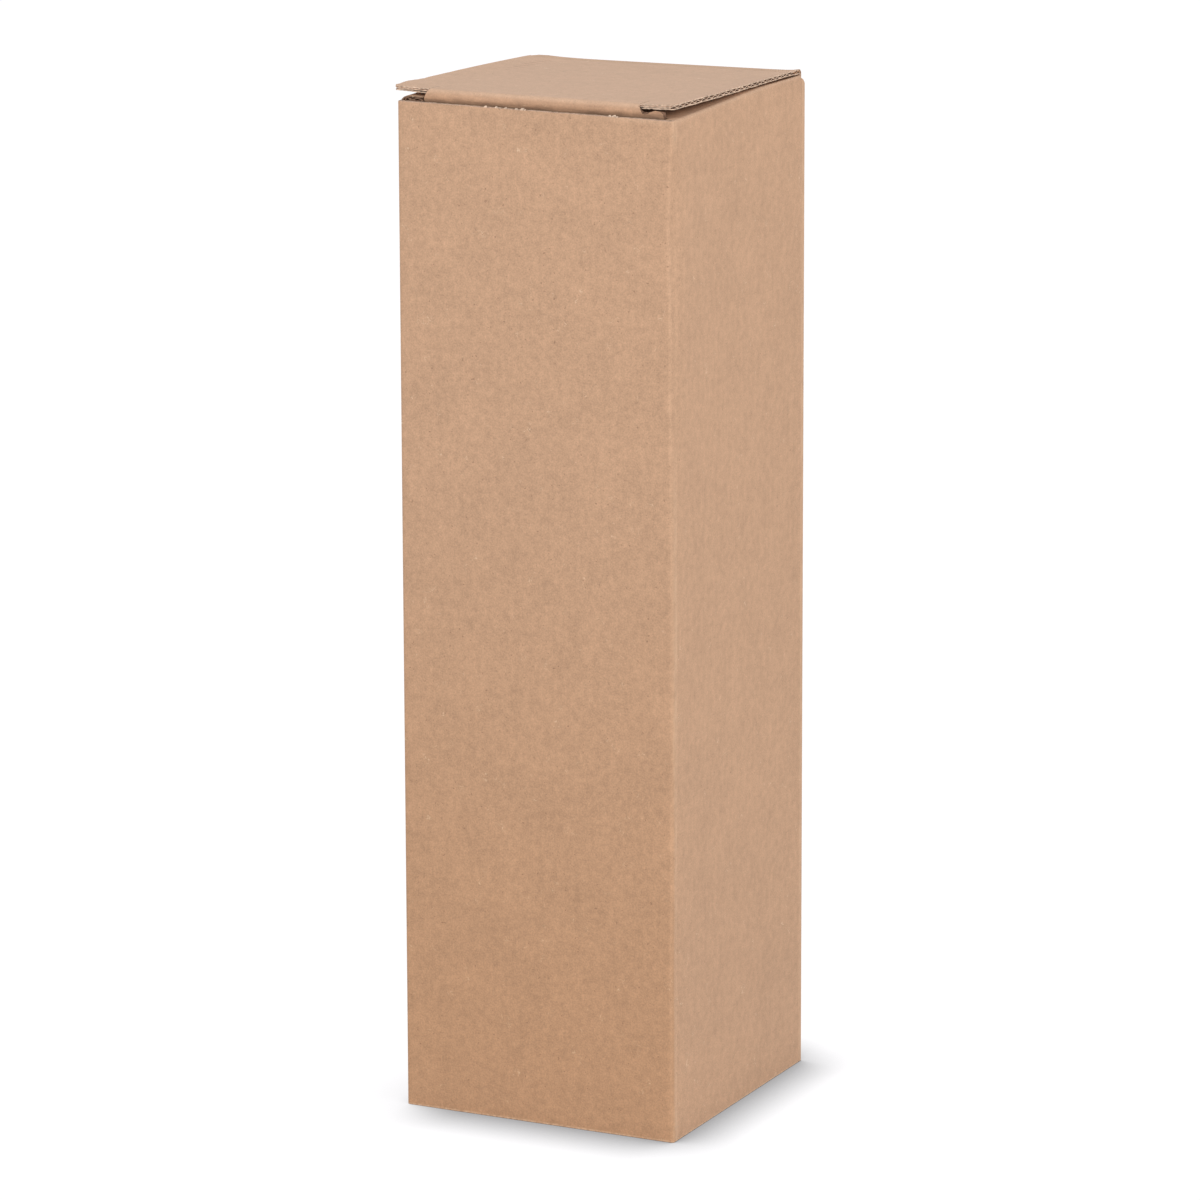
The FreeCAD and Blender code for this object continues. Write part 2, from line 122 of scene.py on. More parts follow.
# Base flaps. Each line is measured from the flap's free edge to the foot of its wall.
BASE_RADIUS = 0.25
BASE_TURN = 4.08
BASE_RISE = 0.05
ROOT_SLACK = 0.001
ROOT_STEP = 0.01
ROW_DIGITS = 4
CORNER_STEPS = 8
SLIGHT_STEPS = 3
LAYER = BOARD + 0.15
STEP_BEND = 0.3
STEP_FLAT = 1.0
BASE_STEP = 7.0
TONGUE_FLAT = 12.0
TONGUE_SLANT = 10.6
TONGUE_TURN = 0.462
TONGUE = round(TONGUE_FLAT + TONGUE_SLANT + 2 * STEP_BEND, ROW_DIGITS)
TONGUE_HALF = 18.0
TONGUE_CORNER = 5.0
FRONT_FLAT = 42.5
FRONT_HALF = 35.4
FRONT_FLARE = 2.6
FRONT_FLARE_START = 9.0
FRONT_FLARE_END = 4.8
SIDE_REACH = 35.0
SIDE_SLANT = 2.4
SIDE_FRONT = -36.35
SIDE_FRONT_TAPER = 8.0
SIDE_FRONT_START = 6.0
SIDE_REAR = 32.35
SIDE_REAR_TAPER = 8.0
SIDE_REAR_START = 12.5
SIDE_TAB = 14.5
SIDE_TAB_EDGE = 0.15
SIDE_TAB_TAPER = 15.0
REAR_REACH = 52.0
REAR_SLANT = 5.0
REAR_HALF = 37.9
REAR_SLOT = 20.0
REAR_SLOT_END = 26.0

# Lid. The hinge line is the CAD's, on the outer face of the back wall's top crease.
CREASE_RADIUS = 1.5
HINGE_INSET = CREASE_RADIUS * (1 - math.sqrt(0.5))
HINGE_Y = HALF_DEPTH - HINGE_INSET
HINGE_Z = CUT + FOLD_RISE + 0.1 + BOARD - HINGE_INSET
LID_PITCH = math.radians(0.7)
LID_RUN = 78.0
CREASE_LEFT = -39.4
CREASE_RIGHT = 38.6
CREASE_BELOW = 0.02
CREASE_SINK = 0.42
CREASE_SINK_REACH = 1.8
CREASE_CRUSH = 0.25
CREASE_CRUSH_START = 0.6
CREASE_CRUSH_RUN = 1.8
LID_START = 5.0
EAR_START = 73.0
EAR_END = HINGE_Y + HALF_DEPTH - 2.8
EAR_LEFT = -42.3
EAR_RIGHT = 38.7
EAR_CORNER = 1.2
SLIT_LEFT = -31.8
SLIT_RIGHT = 28.9
SLIT_GAP = 0.2
TUCK_LEFT = -33.0
TUCK_RIGHT = 36.3
TUCK_REACH = HINGE_Y + HALF_DEPTH - BOARD - 0.35
TUCK_DROP = 16.0
TUCK_BOW = 0.12
TUCK_LEAN = math.radians(18.0)
TUCK_CORNER = 7.0
ROLL_RADIUS = 2.0
SLIT_SLANT_LEFT = 1.2
SLIT_SLANT_RIGHT = 1.5
SHOULDER_START = 0.97
SHOULDER_PEAK = 34.2
SHOULDER_HALF = 2.3
SHOULDER_RISE = 1.0
SHOULDER_REACH = 3.0
LID_TOP = 3.75

# Heights of the lid's upper face above the front cut edge, as the photograph shows them
BACK_HEIGHT = 0.64
BACK_SLOPE = 0.016
BACK_BEND_X = -26.0
BACK_BEND_REACH = 3.0
BACK_LEFT_LIFT = 0.7
BACK_LEFT_REACH = 4.0
BACK_RIGHT_LIFT = 0.4
BACK_RIGHT_REACH = 1.5
FRONT_HEIGHT = 3.35
FRONT_SLOPE = 0.0022
EAR_CURL_LEFT = 0.018
EAR_CURL_RIGHT = 0.034
LID_SAG = 0.12
SAG_HALF_WIDTH = 42.0
EAR_LIFT = 0.5
EAR_LIFT_Y = -32.5
EAR_LIFT_REACH = 5.5
EAR_LIFT_FADE = 5.0
BACK_CORNER_DROP = 0.3
BACK_CORNER_WIDE = 1.3
BACK_CORNER_DEEP = 4.0

# Side edges of the lid: how far they bow, and how the board is crushed along them
BOW_LEFT = 0.45
BOW_RIGHT = 0.75
PRESSED_BACK = 0.42
PRESSED_LESS = 0.3
PRESSED_RUN = 45.0
PRESSED_EDGE = CREASE_RIGHT + 0.9
PRESSED_REACH = 2.0
PRESSED_FRONT = 0.12
PRESSED_FRONT_REACH = 1.5

# Torn edges of the lid: how far the liners are drawn in and bent, in waves of what size
FRAY_SEEDS = (11, 12)
FRAY_DRAWN = 0.16
FRAY_DRAWN_SIZE = 1.9
FRAY_SIDE = 0.6
FRAY_BENT = 0.13
FRAY_BENT_SIZE = 2.4
FRAY_BENT_SEED = 5
FRAY_REACH = 0.5
FRAY_REACH_LEFT = 0.6
FRAY_RIGHT = CREASE_RIGHT + 0.7

# Crushed pulp in the ears' front edges. A filled stretch is its two ends and its seed.
FILLED = ((EAR_LEFT + 1.2, EAR_LEFT + 5.6, 21), (SLIT_RIGHT + 1.4, EAR_RIGHT - 0.9, 22))
FILLER_CELL = 0.35
FILLER_START = 0.55
FILLER_END = 0.2
FILLER_ROUGH = 0.14
FILLER_SIZE = 1.1
FILLER_OVERLAP = 0.02

# Camera, fitted to the photograph
CAMERA_PLACE = (768.75, -1567.72, 550.21)
CAMERA_YAW = 0.4567
CAMERA_PITCH = 0.2332
CAMERA_ROLL = -0.0032
CAMERA_LENS = 200.166
SENSOR = 36.0

# Studio. A lamp is its name, its place in metres, its power and its width.
LAMPS = (
    ("key", (-0.5, -1.35, 1.05), 12.9, 1.1),
    ("fill", (1.5, -0.5, 0.8), 16.2, 1.0),
)
LAMP_COLOUR = (1.0, 0.985, 0.97)
LAMP_AIM = (0.0, 0.0, 0.17)
WORLD_COLOUR = (0.97, 0.985, 1.02, 1.0)
WORLD_STRENGTH = 0.56
BACKDROP = (255, 254, 255)
FLOOR_HALF = 6000.0
FLOOR_THICKNESS = 5.0
FLOOR_BOUNCE = (177, 152, 130)
FLOOR_SEEN = (60, 60, 62)
# The floor's painted contact shadow: its reach at the left and the right, in metres, and its depth at the
# left and elsewhere.
SHADOW_REACH = 0.021
SHADOW_REACH_RIGHT = 0.0165
SHADOW_LEFT = 0.26
SHADOW_DEPTH = 1.4

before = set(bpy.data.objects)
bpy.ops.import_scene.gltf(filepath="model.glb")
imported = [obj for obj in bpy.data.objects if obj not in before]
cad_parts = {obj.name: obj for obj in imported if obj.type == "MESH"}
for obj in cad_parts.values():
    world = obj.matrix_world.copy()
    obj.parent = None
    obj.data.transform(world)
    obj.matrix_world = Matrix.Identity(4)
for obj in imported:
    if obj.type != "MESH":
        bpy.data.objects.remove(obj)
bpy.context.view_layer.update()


# Paths, grids and falls

def path(start, heading, *pieces):
    """A line of straight and curved pieces. Each piece is its length and its turn to the left."""
    made = []
    point = np.array(start, float)
    for length, turn in pieces:
        made.append((point, heading, length, turn / length))
        point, heading = along(made[-1], np.array(length))
    return made


def along(piece, distance):
    """The point and the heading at a distance along one piece."""
    point, heading, _, bend = piece
    angle = heading + bend * distance
    if bend == 0:
        step = np.stack([math.cos(heading) * distance, math.sin(heading) * distance], -1)
    else:
        step = np.stack([np.sin(angle) - math.sin(heading), math.cos(heading) - np.cos(angle)], -1) / bend
    return point + step, angle


def sample(pieces, distance):
    """Points along a path and the directions to its left, for an array of distances."""
    distance = np.asarray(distance, float)
    points = np.zeros(distance.shape + (2,))
    angles = np.zeros(distance.shape)
    before = 0.0
    for index, piece in enumerate(pieces):
        last = index == len(pieces) - 1
        inside = (distance >= before) & ((distance < before + piece[2]) | last)
        spots, headings = along(piece, distance - before)
        points[inside] = spots[inside]
        angles[inside] = (headings + np.zeros(distance.shape))[inside]
        before += piece[2]
    return points, np.stack([-np.sin(angles), np.cos(angles)], -1)


def length_of(pieces):
    return sum(piece[2] for piece in pieces)


def spread(first, *stops):
    """Values from stop to stop. Each stop is its value and the steps up to it."""
    values = [float(first)]
    for value, steps in stops:
        start = values[-1]
        values += [start + (value - start) * i / steps for i in range(1, steps + 1)]
    return np.array(values)


def even(steps):
    """Even shares from 0 to 1."""
    return [i / steps for i in range(steps + 1)]


def between(low, high, shares):
    """Columns at shares of the way from one edge to the other."""
    return [low + (high - low) * share for share in shares]


def ramp(value, start, length):
    """A straight rise from 0 at the start to 1 a length further on."""
    return np.clip((value - start) / length, 0, 1)


def near(distance, reach):
    """1 at a place and before it, and a soft bell-shaped fall beyond it."""
    return np.exp(-(np.clip(distance, 0, None) / reach) ** 2)


def fade(distance, reach):
    """1 at a place and before it, and a fall beyond it that is steepest at once."""
    return np.exp(-np.clip(distance, 0, None) / reach)


def rounded(beyond, radius):
    """How far a rounded corner draws an edge in, from how far a row is past the corner's start."""
    beyond = np.clip(beyond, 0, radius)
    return radius - np.sqrt(np.clip(radius ** 2 - beyond ** 2, 0, None))


def ripple(*coordinates, size, seed):
    """Smooth, repeatable unevenness between -1 and 1, from a few crossed waves."""
    waves = 5
    picks = np.random.default_rng(seed)
    total = 0.0
    for wave in range(waves):
        phase = picks.uniform(0, 2 * math.pi)
        reach = size * picks.uniform(0.45, 1.4)
        turn = picks.uniform(-1, 1, len(coordinates))
        turn[wave % len(coordinates)] += 1.2
        total = total + np.sin(sum(a * k for a, k in zip(coordinates, turn)) * 2 * math.pi / reach + phase)
    return total / waves


# Meshes

OUTSIDE, INSIDE, EDGE, CORE, TOP, ROLL, SHADED = range(7)


class Mesh:
    """Collects the faces of one piece, each with its material."""

    def __init__(self):
        self.points = []
        self.faces = []
        self.slots = []
        self.count = 0

    def skin(self, top, low, keep, slots):
        """A closed thin solid between two grids, over the cells that are kept."""
        rows, columns = top.shape[:2]
        keep = np.broadcast_to(keep, (rows - 1, columns - 1))
        r, c = np.argwhere(keep)[0]
        side = np.cross(top[r, c + 1] - top[r, c], top[r + 1, c] - top[r, c])
        flip = side @ (top[r, c] - low[r, c]) < 0
        used = np.zeros((rows, columns), bool)
        for dr, dc in ((0, 0), (0, 1), (1, 0), (1, 1)):
            used[dr:rows - 1 + dr, dc:columns - 1 + dc] |= keep
        number = np.full((rows, columns), -1)
        number[used] = self.count + np.arange(used.sum())
        under = number + used.sum()

        def face(corners, slot):
            corners = tuple(int(corner) for corner in corners)
            self.faces.append(corners[::-1] if flip else corners)
            self.slots.append(slot)

        padded = np.zeros((rows + 1, columns + 1), bool)
        padded[1:-1, 1:-1] = keep
        for r, c in np.argwhere(keep):
            a, b, d, e = number[r, c], number[r, c + 1], number[r + 1, c + 1], number[r + 1, c]
            a2, b2, d2, e2 = under[r, c], under[r, c + 1], under[r + 1, c + 1], under[r + 1, c]
            face((a, b, d, e), slots[0])
            face((e2, d2, b2, a2), slots[1])
            if not padded[r, c + 1]:
                face((b, a, a2, b2), slots[2])
            if not padded[r + 1, c + 2]:
                face((d, b, b2, d2), slots[2])
            if not padded[r + 2, c + 1]:
                face((e, d, d2, e2), slots[2])
            if not padded[r + 1, c]:
                face((a, e, e2, a2), slots[2])
        self.points += [top[used], low[used]]
        self.count += 2 * int(used.sum())

    def build(self, name, materials):
        """The finished object, with its place in its mesh."""
        mesh = bpy.data.meshes.new(name)
        mesh.from_pydata((np.concatenate(self.points) * MM).tolist(), [], self.faces)
        mesh.polygons.foreach_set("material_index", self.slots)
        for material in materials:
            mesh.materials.append(material)
        mesh.polygons.foreach_set("use_smooth", [True] * len(mesh.polygons))
        mesh.update()
        mesh.set_sharp_from_angle(angle=SHARP)
        piece = bpy.data.objects.new(name, mesh)
        bpy.context.scene.collection.objects.link(piece)
        return piece


def below(face, out, thick, depth):
    """The points at a share of the board's thickness below its outer face."""
    return face - out * (thick * depth)[..., None]


def add_liners(mesh, sheet, keep, slots, offsets=(0.0, 0.0)):
    """The two liners. sheet is the board's outer face, its outward direction and its thickness."""
    outside, core, edge = slots
    skin = LINER / BOARD
    upper, lower = offsets
    mesh.skin(below(*sheet, 0.0) + upper, below(*sheet, skin) + upper, keep, (outside, core, edge))
    mesh.skin(below(*sheet, 1 - skin) + lower, below(*sheet, 1.0) + lower, keep, (core, INSIDE, edge))


def add_medium(mesh, sheet, travelled, keep, slots):
    """The wavy medium between the liners, from how far along the sheet each row is."""
    swing = (BOARD - 2 * LINER - MEDIUM) / 2 / BOARD
    half = MEDIUM / 2 / BOARD
    wave = 0.5 + swing * np.sin(travelled * 2 * math.pi / PITCH)[:, None] + 0 * sheet[2]
    mesh.skin(below(*sheet, wave - half), below(*sheet, wave + half), keep, slots)


def board(mesh, place, rows, across, keep=True, outside=OUTSIDE, edge=EDGE, fray=None):
    """Fluted board. place(across, rows) gives its outer face, the outward direction and its thickness."""
    across = np.broadcast_to(across, (len(rows), np.shape(across)[-1]))
    keep = np.broadcast_to(keep, (len(rows) - 1, across.shape[1] - 1))
    sheet = place(across, rows[:, None] + 0 * across)
    offsets = (0.0, 0.0) if fray is None else [fray(sheet[0], seed) for seed in FRAY_SEEDS]
    add_liners(mesh, sheet, keep, (outside, CORE, edge), offsets)

    fine = [rows[0]]
    source = []
    for index, (start, end) in enumerate(zip(rows[:-1], rows[1:])):
        steps = max(1, math.ceil((end - start) / (PITCH / WAVE_STEPS)))
        fine += [start + (end - start) * i / steps for i in range(1, steps + 1)]
        source += [index] * steps
    fine = np.array(fine)
    columns = thin_columns(across, keep)
    widths = np.stack([np.interp(fine, rows, across[:, c]) for c in columns], -1)
    kept = keep[np.ix_(source, columns[:-1])]
    add_medium(mesh, place(widths, fine[:, None] + 0 * widths), fine, kept, (CORE, CORE, edge))


def thin_columns(across, keep):
    """The columns that the medium needs: the outer ones, where the kept cells change, and some between."""
    last = across.shape[1] - 1
    wanted = {0, last}
    for c in range(1, last):
        step = FINE_STEP if abs(across[0, c + 1] - across[0, c]) < FINE_CELL else COARSE_STEP
        if (keep[:, c] != keep[:, c - 1]).any() or c % step == 0:
            wanted.add(c)
    return sorted(wanted)


# Carton walls

# For each wall, the place seen from above of a point at a distance along it and a depth below
# its outer face, and the wall's outward direction
WALLS = {
    "front": (lambda a, d: (a, d - HALF_DEPTH), (0, -1)),
    "back": (lambda a, d: (a, HALF_DEPTH - d), (0, 1)),
    "left": (lambda a, d: (d - HALF_WIDTH, a), (-1, 0)),
    "right": (lambda a, d: (HALF_WIDTH - d, a), (1, 0)),
}


def on_wall(wall, pieces, start, settle=None):
    """A place() for a flap whose line goes in and up from one wall, with rows counted from a start."""
    spot, outward = WALLS[wall]

    def place(across, rows):
        points, left = sample(pieces, rows - start)
        x, y = spot(across, points[..., 0])
        face = np.stack([x, y, points[..., 1]], -1)
        out = np.stack([-left[..., 0] * outward[0], -left[..., 0] * outward[1], left[..., 1]], -1)
        if settle is not None:
            face[..., 2] += ramp(face[..., 2], SETTLE_START, SETTLE_RISE) * settle(x, y)
        return face, out, np.full(rows.shape, BOARD)

    return place


def edge_dent(z):
    """How far the near vertical edge is pressed in, as the board was creased and handled."""
    dent = DENT_LEAST + DENT_WAVE * np.sin(z / DENT_WAVE_REACH)
    for depth, height, reach in DENTS:
        dent += depth * near(np.abs(z - height), reach)
    return dent * ramp(FLAP_ROOT - z, 0, 7.0) * ramp(z, 1.0, 9.0)


def band():
    """The outer line of the four walls seen from above, from the glued flap to the seam."""
    quarter = math.pi / 2
    bend = WALL_RADIUS * quarter
    glue = GLUE_FREE_X + HALF_WIDTH - WALL_RADIUS
    left = GLUE_Y + HALF_DEPTH - 2 * WALL_RADIUS
    front = 2 * HALF_WIDTH - 2 * WALL_RADIUS
    right = 2 * HALF_DEPTH - 2 * WALL_RADIUS
    back = HALF_WIDTH - SEAM_X - WALL_RADIUS
    runs = ((glue, 0), (bend, quarter), (left, 0), (bend, quarter), (front, 0))
    runs += ((bend, quarter), (right, 0), (bend, quarter), (back, 0))
    return path((GLUE_FREE_X, GLUE_Y), math.pi, *runs), [run[0] for run in runs]


def wall_columns(ends):
    """Columns along the band, and for each cell its wall and whether a flap stands on it."""
    stops = [0.0]
    kinds = []
    for name, start, end in zip(WALL_NAMES, ends[:-1], ends[1:]):
        left = start + GLUE_Y - WALL_RADIUS
        right = start + HALF_DEPTH - WALL_RADIUS
        back = start + HALF_WIDTH - WALL_RADIUS
        fold = {
            "left": (left - DUST_BACK, left - DUST_FRONT),
            "right": (right + DUST_FRONT, right + DUST_BACK),
            "back": (back - CREASE_RIGHT, back - CREASE_LEFT),
        }.get(name, ())
        marks = {start, end, *fold}
        if name not in ("bend", "glue"):
            marks.update(start + step for step in EDGE_STEPS)
        if name not in ("bend", "back"):
            marks.update(end - step for step in EDGE_STEPS)
        marks = sorted(marks)
        for first, last in zip(marks[:-1], marks[1:]):
            steps = BEND_STEPS if name == "bend" else max(1, round((last - first) / WALL_STEP))
            stops += [first + (last - first) * i / steps for i in range(1, steps + 1)]
            kinds += [(name, bool(fold) and fold[0] < (first + last) / 2 < fold[1])] * steps
    return np.array(stops), kinds


def wall_cells(stops, kinds, rows, glue_run):
    """The cells of the band that hold board: none where a flap, the rim or the glued flap's taper is."""
    middle = (rows[:-1] + rows[1:]) / 2
    keep = np.ones((len(rows) - 1, len(kinds)), bool)
    for index, (name, flap) in enumerate(kinds):
        if flap or name == "glue":
            keep[middle > FLAP_ROOT, index] = False
        if name not in ("bend", "glue"):
            keep[middle < WALL_FOOT, index] = False
        if name == "front":
            keep[middle > CUT - RIM, index] = False
        if name == "glue":
            reach = GLUE_END + GLUE_TAPER * (1 - (stops[index] + stops[index + 1]) / 2 / glue_run)
            keep[(middle < reach) | (middle > CUT - reach), index] = False
    return keep


def carton_walls(mesh):
    """The band of four walls with the glued flap, up to where the flaps begin."""
    line, runs = band()
    ends = np.cumsum([0.0] + runs)
    across, kinds = wall_columns(ends)
    rows = spread(POST_FOOT, (WALL_FOOT, 2), (WALL_FOOT + 8, 4), (FLAP_ROOT - 8, 50), (FLAP_ROOT, 4),
                  (CUT - RIM, 2), (CUT, 2))
    keep = wall_cells(across, kinds, rows, ends[1])

    def place(across, rows):
        points, left = sample(line, across)
        x, y = points[..., 0], points[..., 1]
        edge = near(HALF_WIDTH - WALL_RADIUS - x, DENT_WIDE) * near(y + HALF_DEPTH - WALL_RADIUS, DENT_DEEP)
        rim = ramp(rows, CUT - RIM, RIM)
        ragged = sum(height * ripple(x, y, size=size, seed=seed) for height, size, seed in RAGGED)
        lean = RIM_LEAN * rim ** 2 * ramp(x, LEAN_START, LEAN_RUN) * (y < 1 - HALF_DEPTH)
        corner = np.exp(-((np.abs(x) - HALF_WIDTH) ** 2 + (y - HALF_DEPTH) ** 2) / CORNER_SPREAD)
        sunk = CORNER_SINK * corner * ramp(rows, FLAP_ROOT, CUT - FLAP_ROOT)
        face = np.stack([x - edge * edge_dent(rows), y + lean, rows + ragged * rim - sunk], -1)
        out = np.stack([-left[..., 0], -left[..., 1], 0 * rows], -1)
        off = np.min([np.abs(across - (ends[i] + ends[i + 1]) / 2) for i in BENDS], axis=0)
        return face, out, BOARD - WALL_CRUSH * near(off - runs[1] / 2, CRUSH_REACH)

    board(mesh, place, rows, across, keep)
    front = WALL_NAMES.index("front")
    board(mesh, place, spread(CUT - RIM, (CUT, 4)), spread(ends[front], (ends[front + 1], RIM_STEPS)))


def tuft(mesh, x, width, lean, height):
    """A few torn fibres that stand on the front wall's cut edge."""
    steps = spread(0, (1, 6))
    curl = steps * TUFT_CURL
    span = width * (1 - TUFT_TAPER * steps) / 2
    middle = np.stack([
        x + lean * np.sin(curl),
        -HALF_DEPTH + TUFT_INSET + 0.5 * height * (1 - np.cos(curl)),
        CUT - TUFT_SINK + height * np.sin(curl),
    ], -1)
    grid = middle[:, None] + np.array(TUFT_SIDE) * (span[:, None] * np.array([-1, 0, 1]))[..., None]
    grid[:, 1, 2] += TUFT_RIDGE
    mesh.skin(grid, grid + np.array(TUFT_THICKNESS), True, (EDGE, EDGE, EDGE))


def dust_flap(mesh, wall, notch, radius):
    """One dust flap, folded in over the side wall, with the tuck flap's place cut from its front."""
    top = CUT + FOLD_RISE
    upright = top - radius - FLAP_ROOT
    quarter = math.pi / 2 + DUST_SLOPE
    fold = radius * quarter
    flat = DUST_LENGTH - radius
    pieces = path((0.0, FLAP_ROOT), math.pi / 2, (upright, 0), (fold, -quarter), (flat, 0))
    start = upright + fold + HALF_WIDTH - notch - radius
    rows = spread(0, (upright, 2), (upright + fold, 8), (start, 1), (upright + fold + flat, 8)) + FLAP_ROOT
    back = DUST_BACK - DUST_TAPER * ramp(rows, FLAP_ROOT + upright + fold, flat)
    columns = [np.full(len(rows), DUST_FRONT)] + between(DUST_NOTCH, back, spread(0, (1, 15)))
    across = np.stack(columns, -1)
    keep = np.ones((len(rows) - 1, across.shape[1] - 1), bool)
    keep[rows[:-1] > FLAP_ROOT + start - NEAR_ZERO, 0] = False

    def settle(x, y):
        inward = np.clip(HALF_WIDTH - radius - np.abs(x), 0, None)
        sunk = RIGHT_SINK * ramp(RIGHT_SINK_START - y, 0, RIGHT_SINK_RUN) * (x > 0)
        return np.minimum(-sunk, lid_level(x, y) - BOARD - DUST_GAP - (top - DUST_SLOPE * inward))

    board(mesh, on_wall(wall, pieces, FLAP_ROOT, settle), rows, across, keep, edge=SHADED)


# Carton base

def foot_path(rise, *pieces):
    """A base flap's line from its free edge to the foot of its wall, at a rise above the floor."""
    corner = (BASE_RADIUS * math.pi / 2, -math.pi / 2)
    made = path((0.0, 0.0), math.pi, *pieces, corner, (WALL_FOOT - rise - BASE_RADIUS, 0))
    end, _ = along(made[-1], np.array(made[-1][2]))
    shift = np.array([0.0, WALL_FOOT]) - end
    return [(piece[0] + shift,) + piece[1:] for piece in made]


def stepped_path(level, slant, reach):
    """The line of a flap that lies on others at a level, and comes down a slant close to its wall."""
    drop = level - BASE_RISE
    angle = math.atan2(drop, slant)
    flat = reach - BASE_RADIUS - slant - STEP_FLAT
    down = ((STEP_BEND, angle), (math.hypot(drop, slant), 0), (STEP_BEND, -angle))
    return foot_path(BASE_RISE, (flat, 0), *down, (STEP_FLAT, 0))


def root_stops(total):
    """The rows where a base flap widens to its wall, and its end."""
    return [total - BASE_TURN, total - BASE_TURN + ROOT_STEP, total]


def arc_rows(pieces):
    """Distances that follow each curved piece closely enough: a corner turns more than a radian."""
    before = 0.0
    for _, _, length, bend in pieces:
        turn = length * abs(bend)
        steps = CORNER_STEPS if turn > 1 else SLIGHT_STEPS if turn else 1
        for index in range(steps + 1):
            yield before + length * index / steps
        before += length


def base_flap(mesh, wall, pieces, limits, lengths, keep=None, inner=()):
    """A base flap. limits(rows) gives its two side edges at distances from its free edge."""
    total = length_of(pieces)
    rows = np.array(sorted(set(np.round(list(lengths) + list(arc_rows(pieces)), ROW_DIGITS))))
    rows = np.append(rows[rows < total - ROOT_SLACK], total)
    low, high = limits(rows)
    marks = [low] + [np.full(len(rows), value) for value in inner] + [high]
    columns = [marks[0]]
    groups = []
    for index, (first, last) in enumerate(zip(marks[:-1], marks[1:])):
        steps = max(2, round(float(np.max(np.abs(last - first))) / BASE_STEP))
        columns += between(first, last, even(steps)[1:])
        groups += [index] * steps
    kept = np.ones((len(rows) - 1, len(groups)), bool)
    if keep is not None:
        middle = (rows[:-1] + rows[1:]) / 2
        for index, group in enumerate(groups):
            kept[:, index] = keep(middle, group)
    board(mesh, on_wall(wall, pieces, 0.0), rows, np.stack(columns, -1), kept)


def front_base(mesh):
    """The front base flap, whose tongue locks over the side flaps."""
    pieces = foot_path(0.0, (TONGUE_FLAT, 0), (STEP_BEND, TONGUE_TURN), (TONGUE_SLANT, 0),
                       (STEP_BEND, -TONGUE_TURN), (FRONT_FLAT - BASE_RADIUS, 0))
    total = length_of(pieces)

    def limits(rows):
        root = total - rows
        flare = ramp(FRONT_FLARE_START - root, 0, FRONT_FLARE_START - FRONT_FLARE_END)
        half = FRONT_HALF + FRONT_FLARE * flare
        half = np.where(root < BASE_TURN - ROOT_SLACK, HALF_WIDTH - WALL_RADIUS, half)
        tongue = TONGUE_HALF - np.clip(TONGUE_CORNER - rows, 0, TONGUE_CORNER)
        half = np.where(rows < TONGUE, tongue, half)
        return -half, half

    stops = [0, 1.5, 3.2, TONGUE_CORNER, 8, TONGUE_FLAT, TONGUE - ROOT_SLACK, TONGUE, 30, 38, 46, 54, 58]
    stops += [total - FRONT_FLARE_START, total - FRONT_FLARE_END]
    base_flap(mesh, "front", pieces, limits, stops + root_stops(total))


def side_bases(mesh):
    """The two side base flaps, each with a tab that reaches under the front flap's tongue."""
    pieces = stepped_path(LAYER, SIDE_SLANT, SIDE_REACH)
    total = length_of(pieces)

    def limits(rows):
        inward = np.clip(SIDE_REACH - rows, 0, SIDE_REACH)
        low = SIDE_FRONT + SIDE_FRONT_TAPER * ramp(inward, SIDE_FRONT_START, SIDE_REACH - SIDE_FRONT_START)
        high = SIDE_REAR - np.clip(inward - SIDE_REAR_START, 0, SIDE_REAR_TAPER)
        upright = total - rows < BASE_TURN - ROOT_SLACK
        reach = HALF_DEPTH - WALL_RADIUS
        tab = SIDE_TAB_EDGE - SIDE_TAB_TAPER * (SIDE_TAB - rows) / SIDE_TAB
        low = np.where(upright, -reach, low)
        high = np.where(rows < SIDE_TAB, tab, np.where(upright, reach, high))
        return low, high

    stops = [0, 3.6, 7.2, 10.8, SIDE_TAB - ROOT_SLACK, SIDE_TAB, 18.5, 22.5, 26, 30]
    for wall in ("left", "right"):
        base_flap(mesh, wall, pieces, limits, stops + root_stops(total))


def back_base(mesh):
    """The back base flap, with the slot that takes the tongue."""
    pieces = stepped_path(2 * LAYER, REAR_SLANT, REAR_REACH)
    total = length_of(pieces)

    def limits(rows):
        upright = total - rows < BASE_TURN - ROOT_SLACK
        low = np.where(upright, SEAM_X, -REAR_HALF)
        return low, np.where(upright, HALF_WIDTH - WALL_RADIUS, REAR_HALF)

    def outside_slot(middle, group):
        return (middle > REAR_SLOT_END) | (group != 1)

    stops = [0, 6.5, 13, 19.5, REAR_SLOT_END, 33, 40, 46] + root_stops(total)
    base_flap(mesh, "back", pieces, limits, stops, outside_slot, (-REAR_SLOT, REAR_SLOT))


# Lid

def back_level(x):
    """The height of the lid's upper face above the front cut edge, along the back crease."""
    bend = BACK_SLOPE * np.log1p(np.exp((x - BACK_BEND_X) / BACK_BEND_REACH)) * BACK_BEND_REACH
    left = BACK_LEFT_LIFT * np.exp(-(x - CREASE_LEFT) / BACK_LEFT_REACH)
    right = BACK_RIGHT_LIFT * np.exp((x - CREASE_RIGHT) / BACK_RIGHT_REACH)
    return BACK_HEIGHT + bend + left + right


def front_level(x):
    """The same along the front, where the ears curl up a little."""
    curl = EAR_CURL_LEFT * np.clip(SLIT_LEFT - x, 0, None)
    curl += EAR_CURL_RIGHT * np.clip(x - SLIT_RIGHT, 0, None)
    return FRONT_HEIGHT + FRONT_SLOPE * (x - SLIT_LEFT) + curl


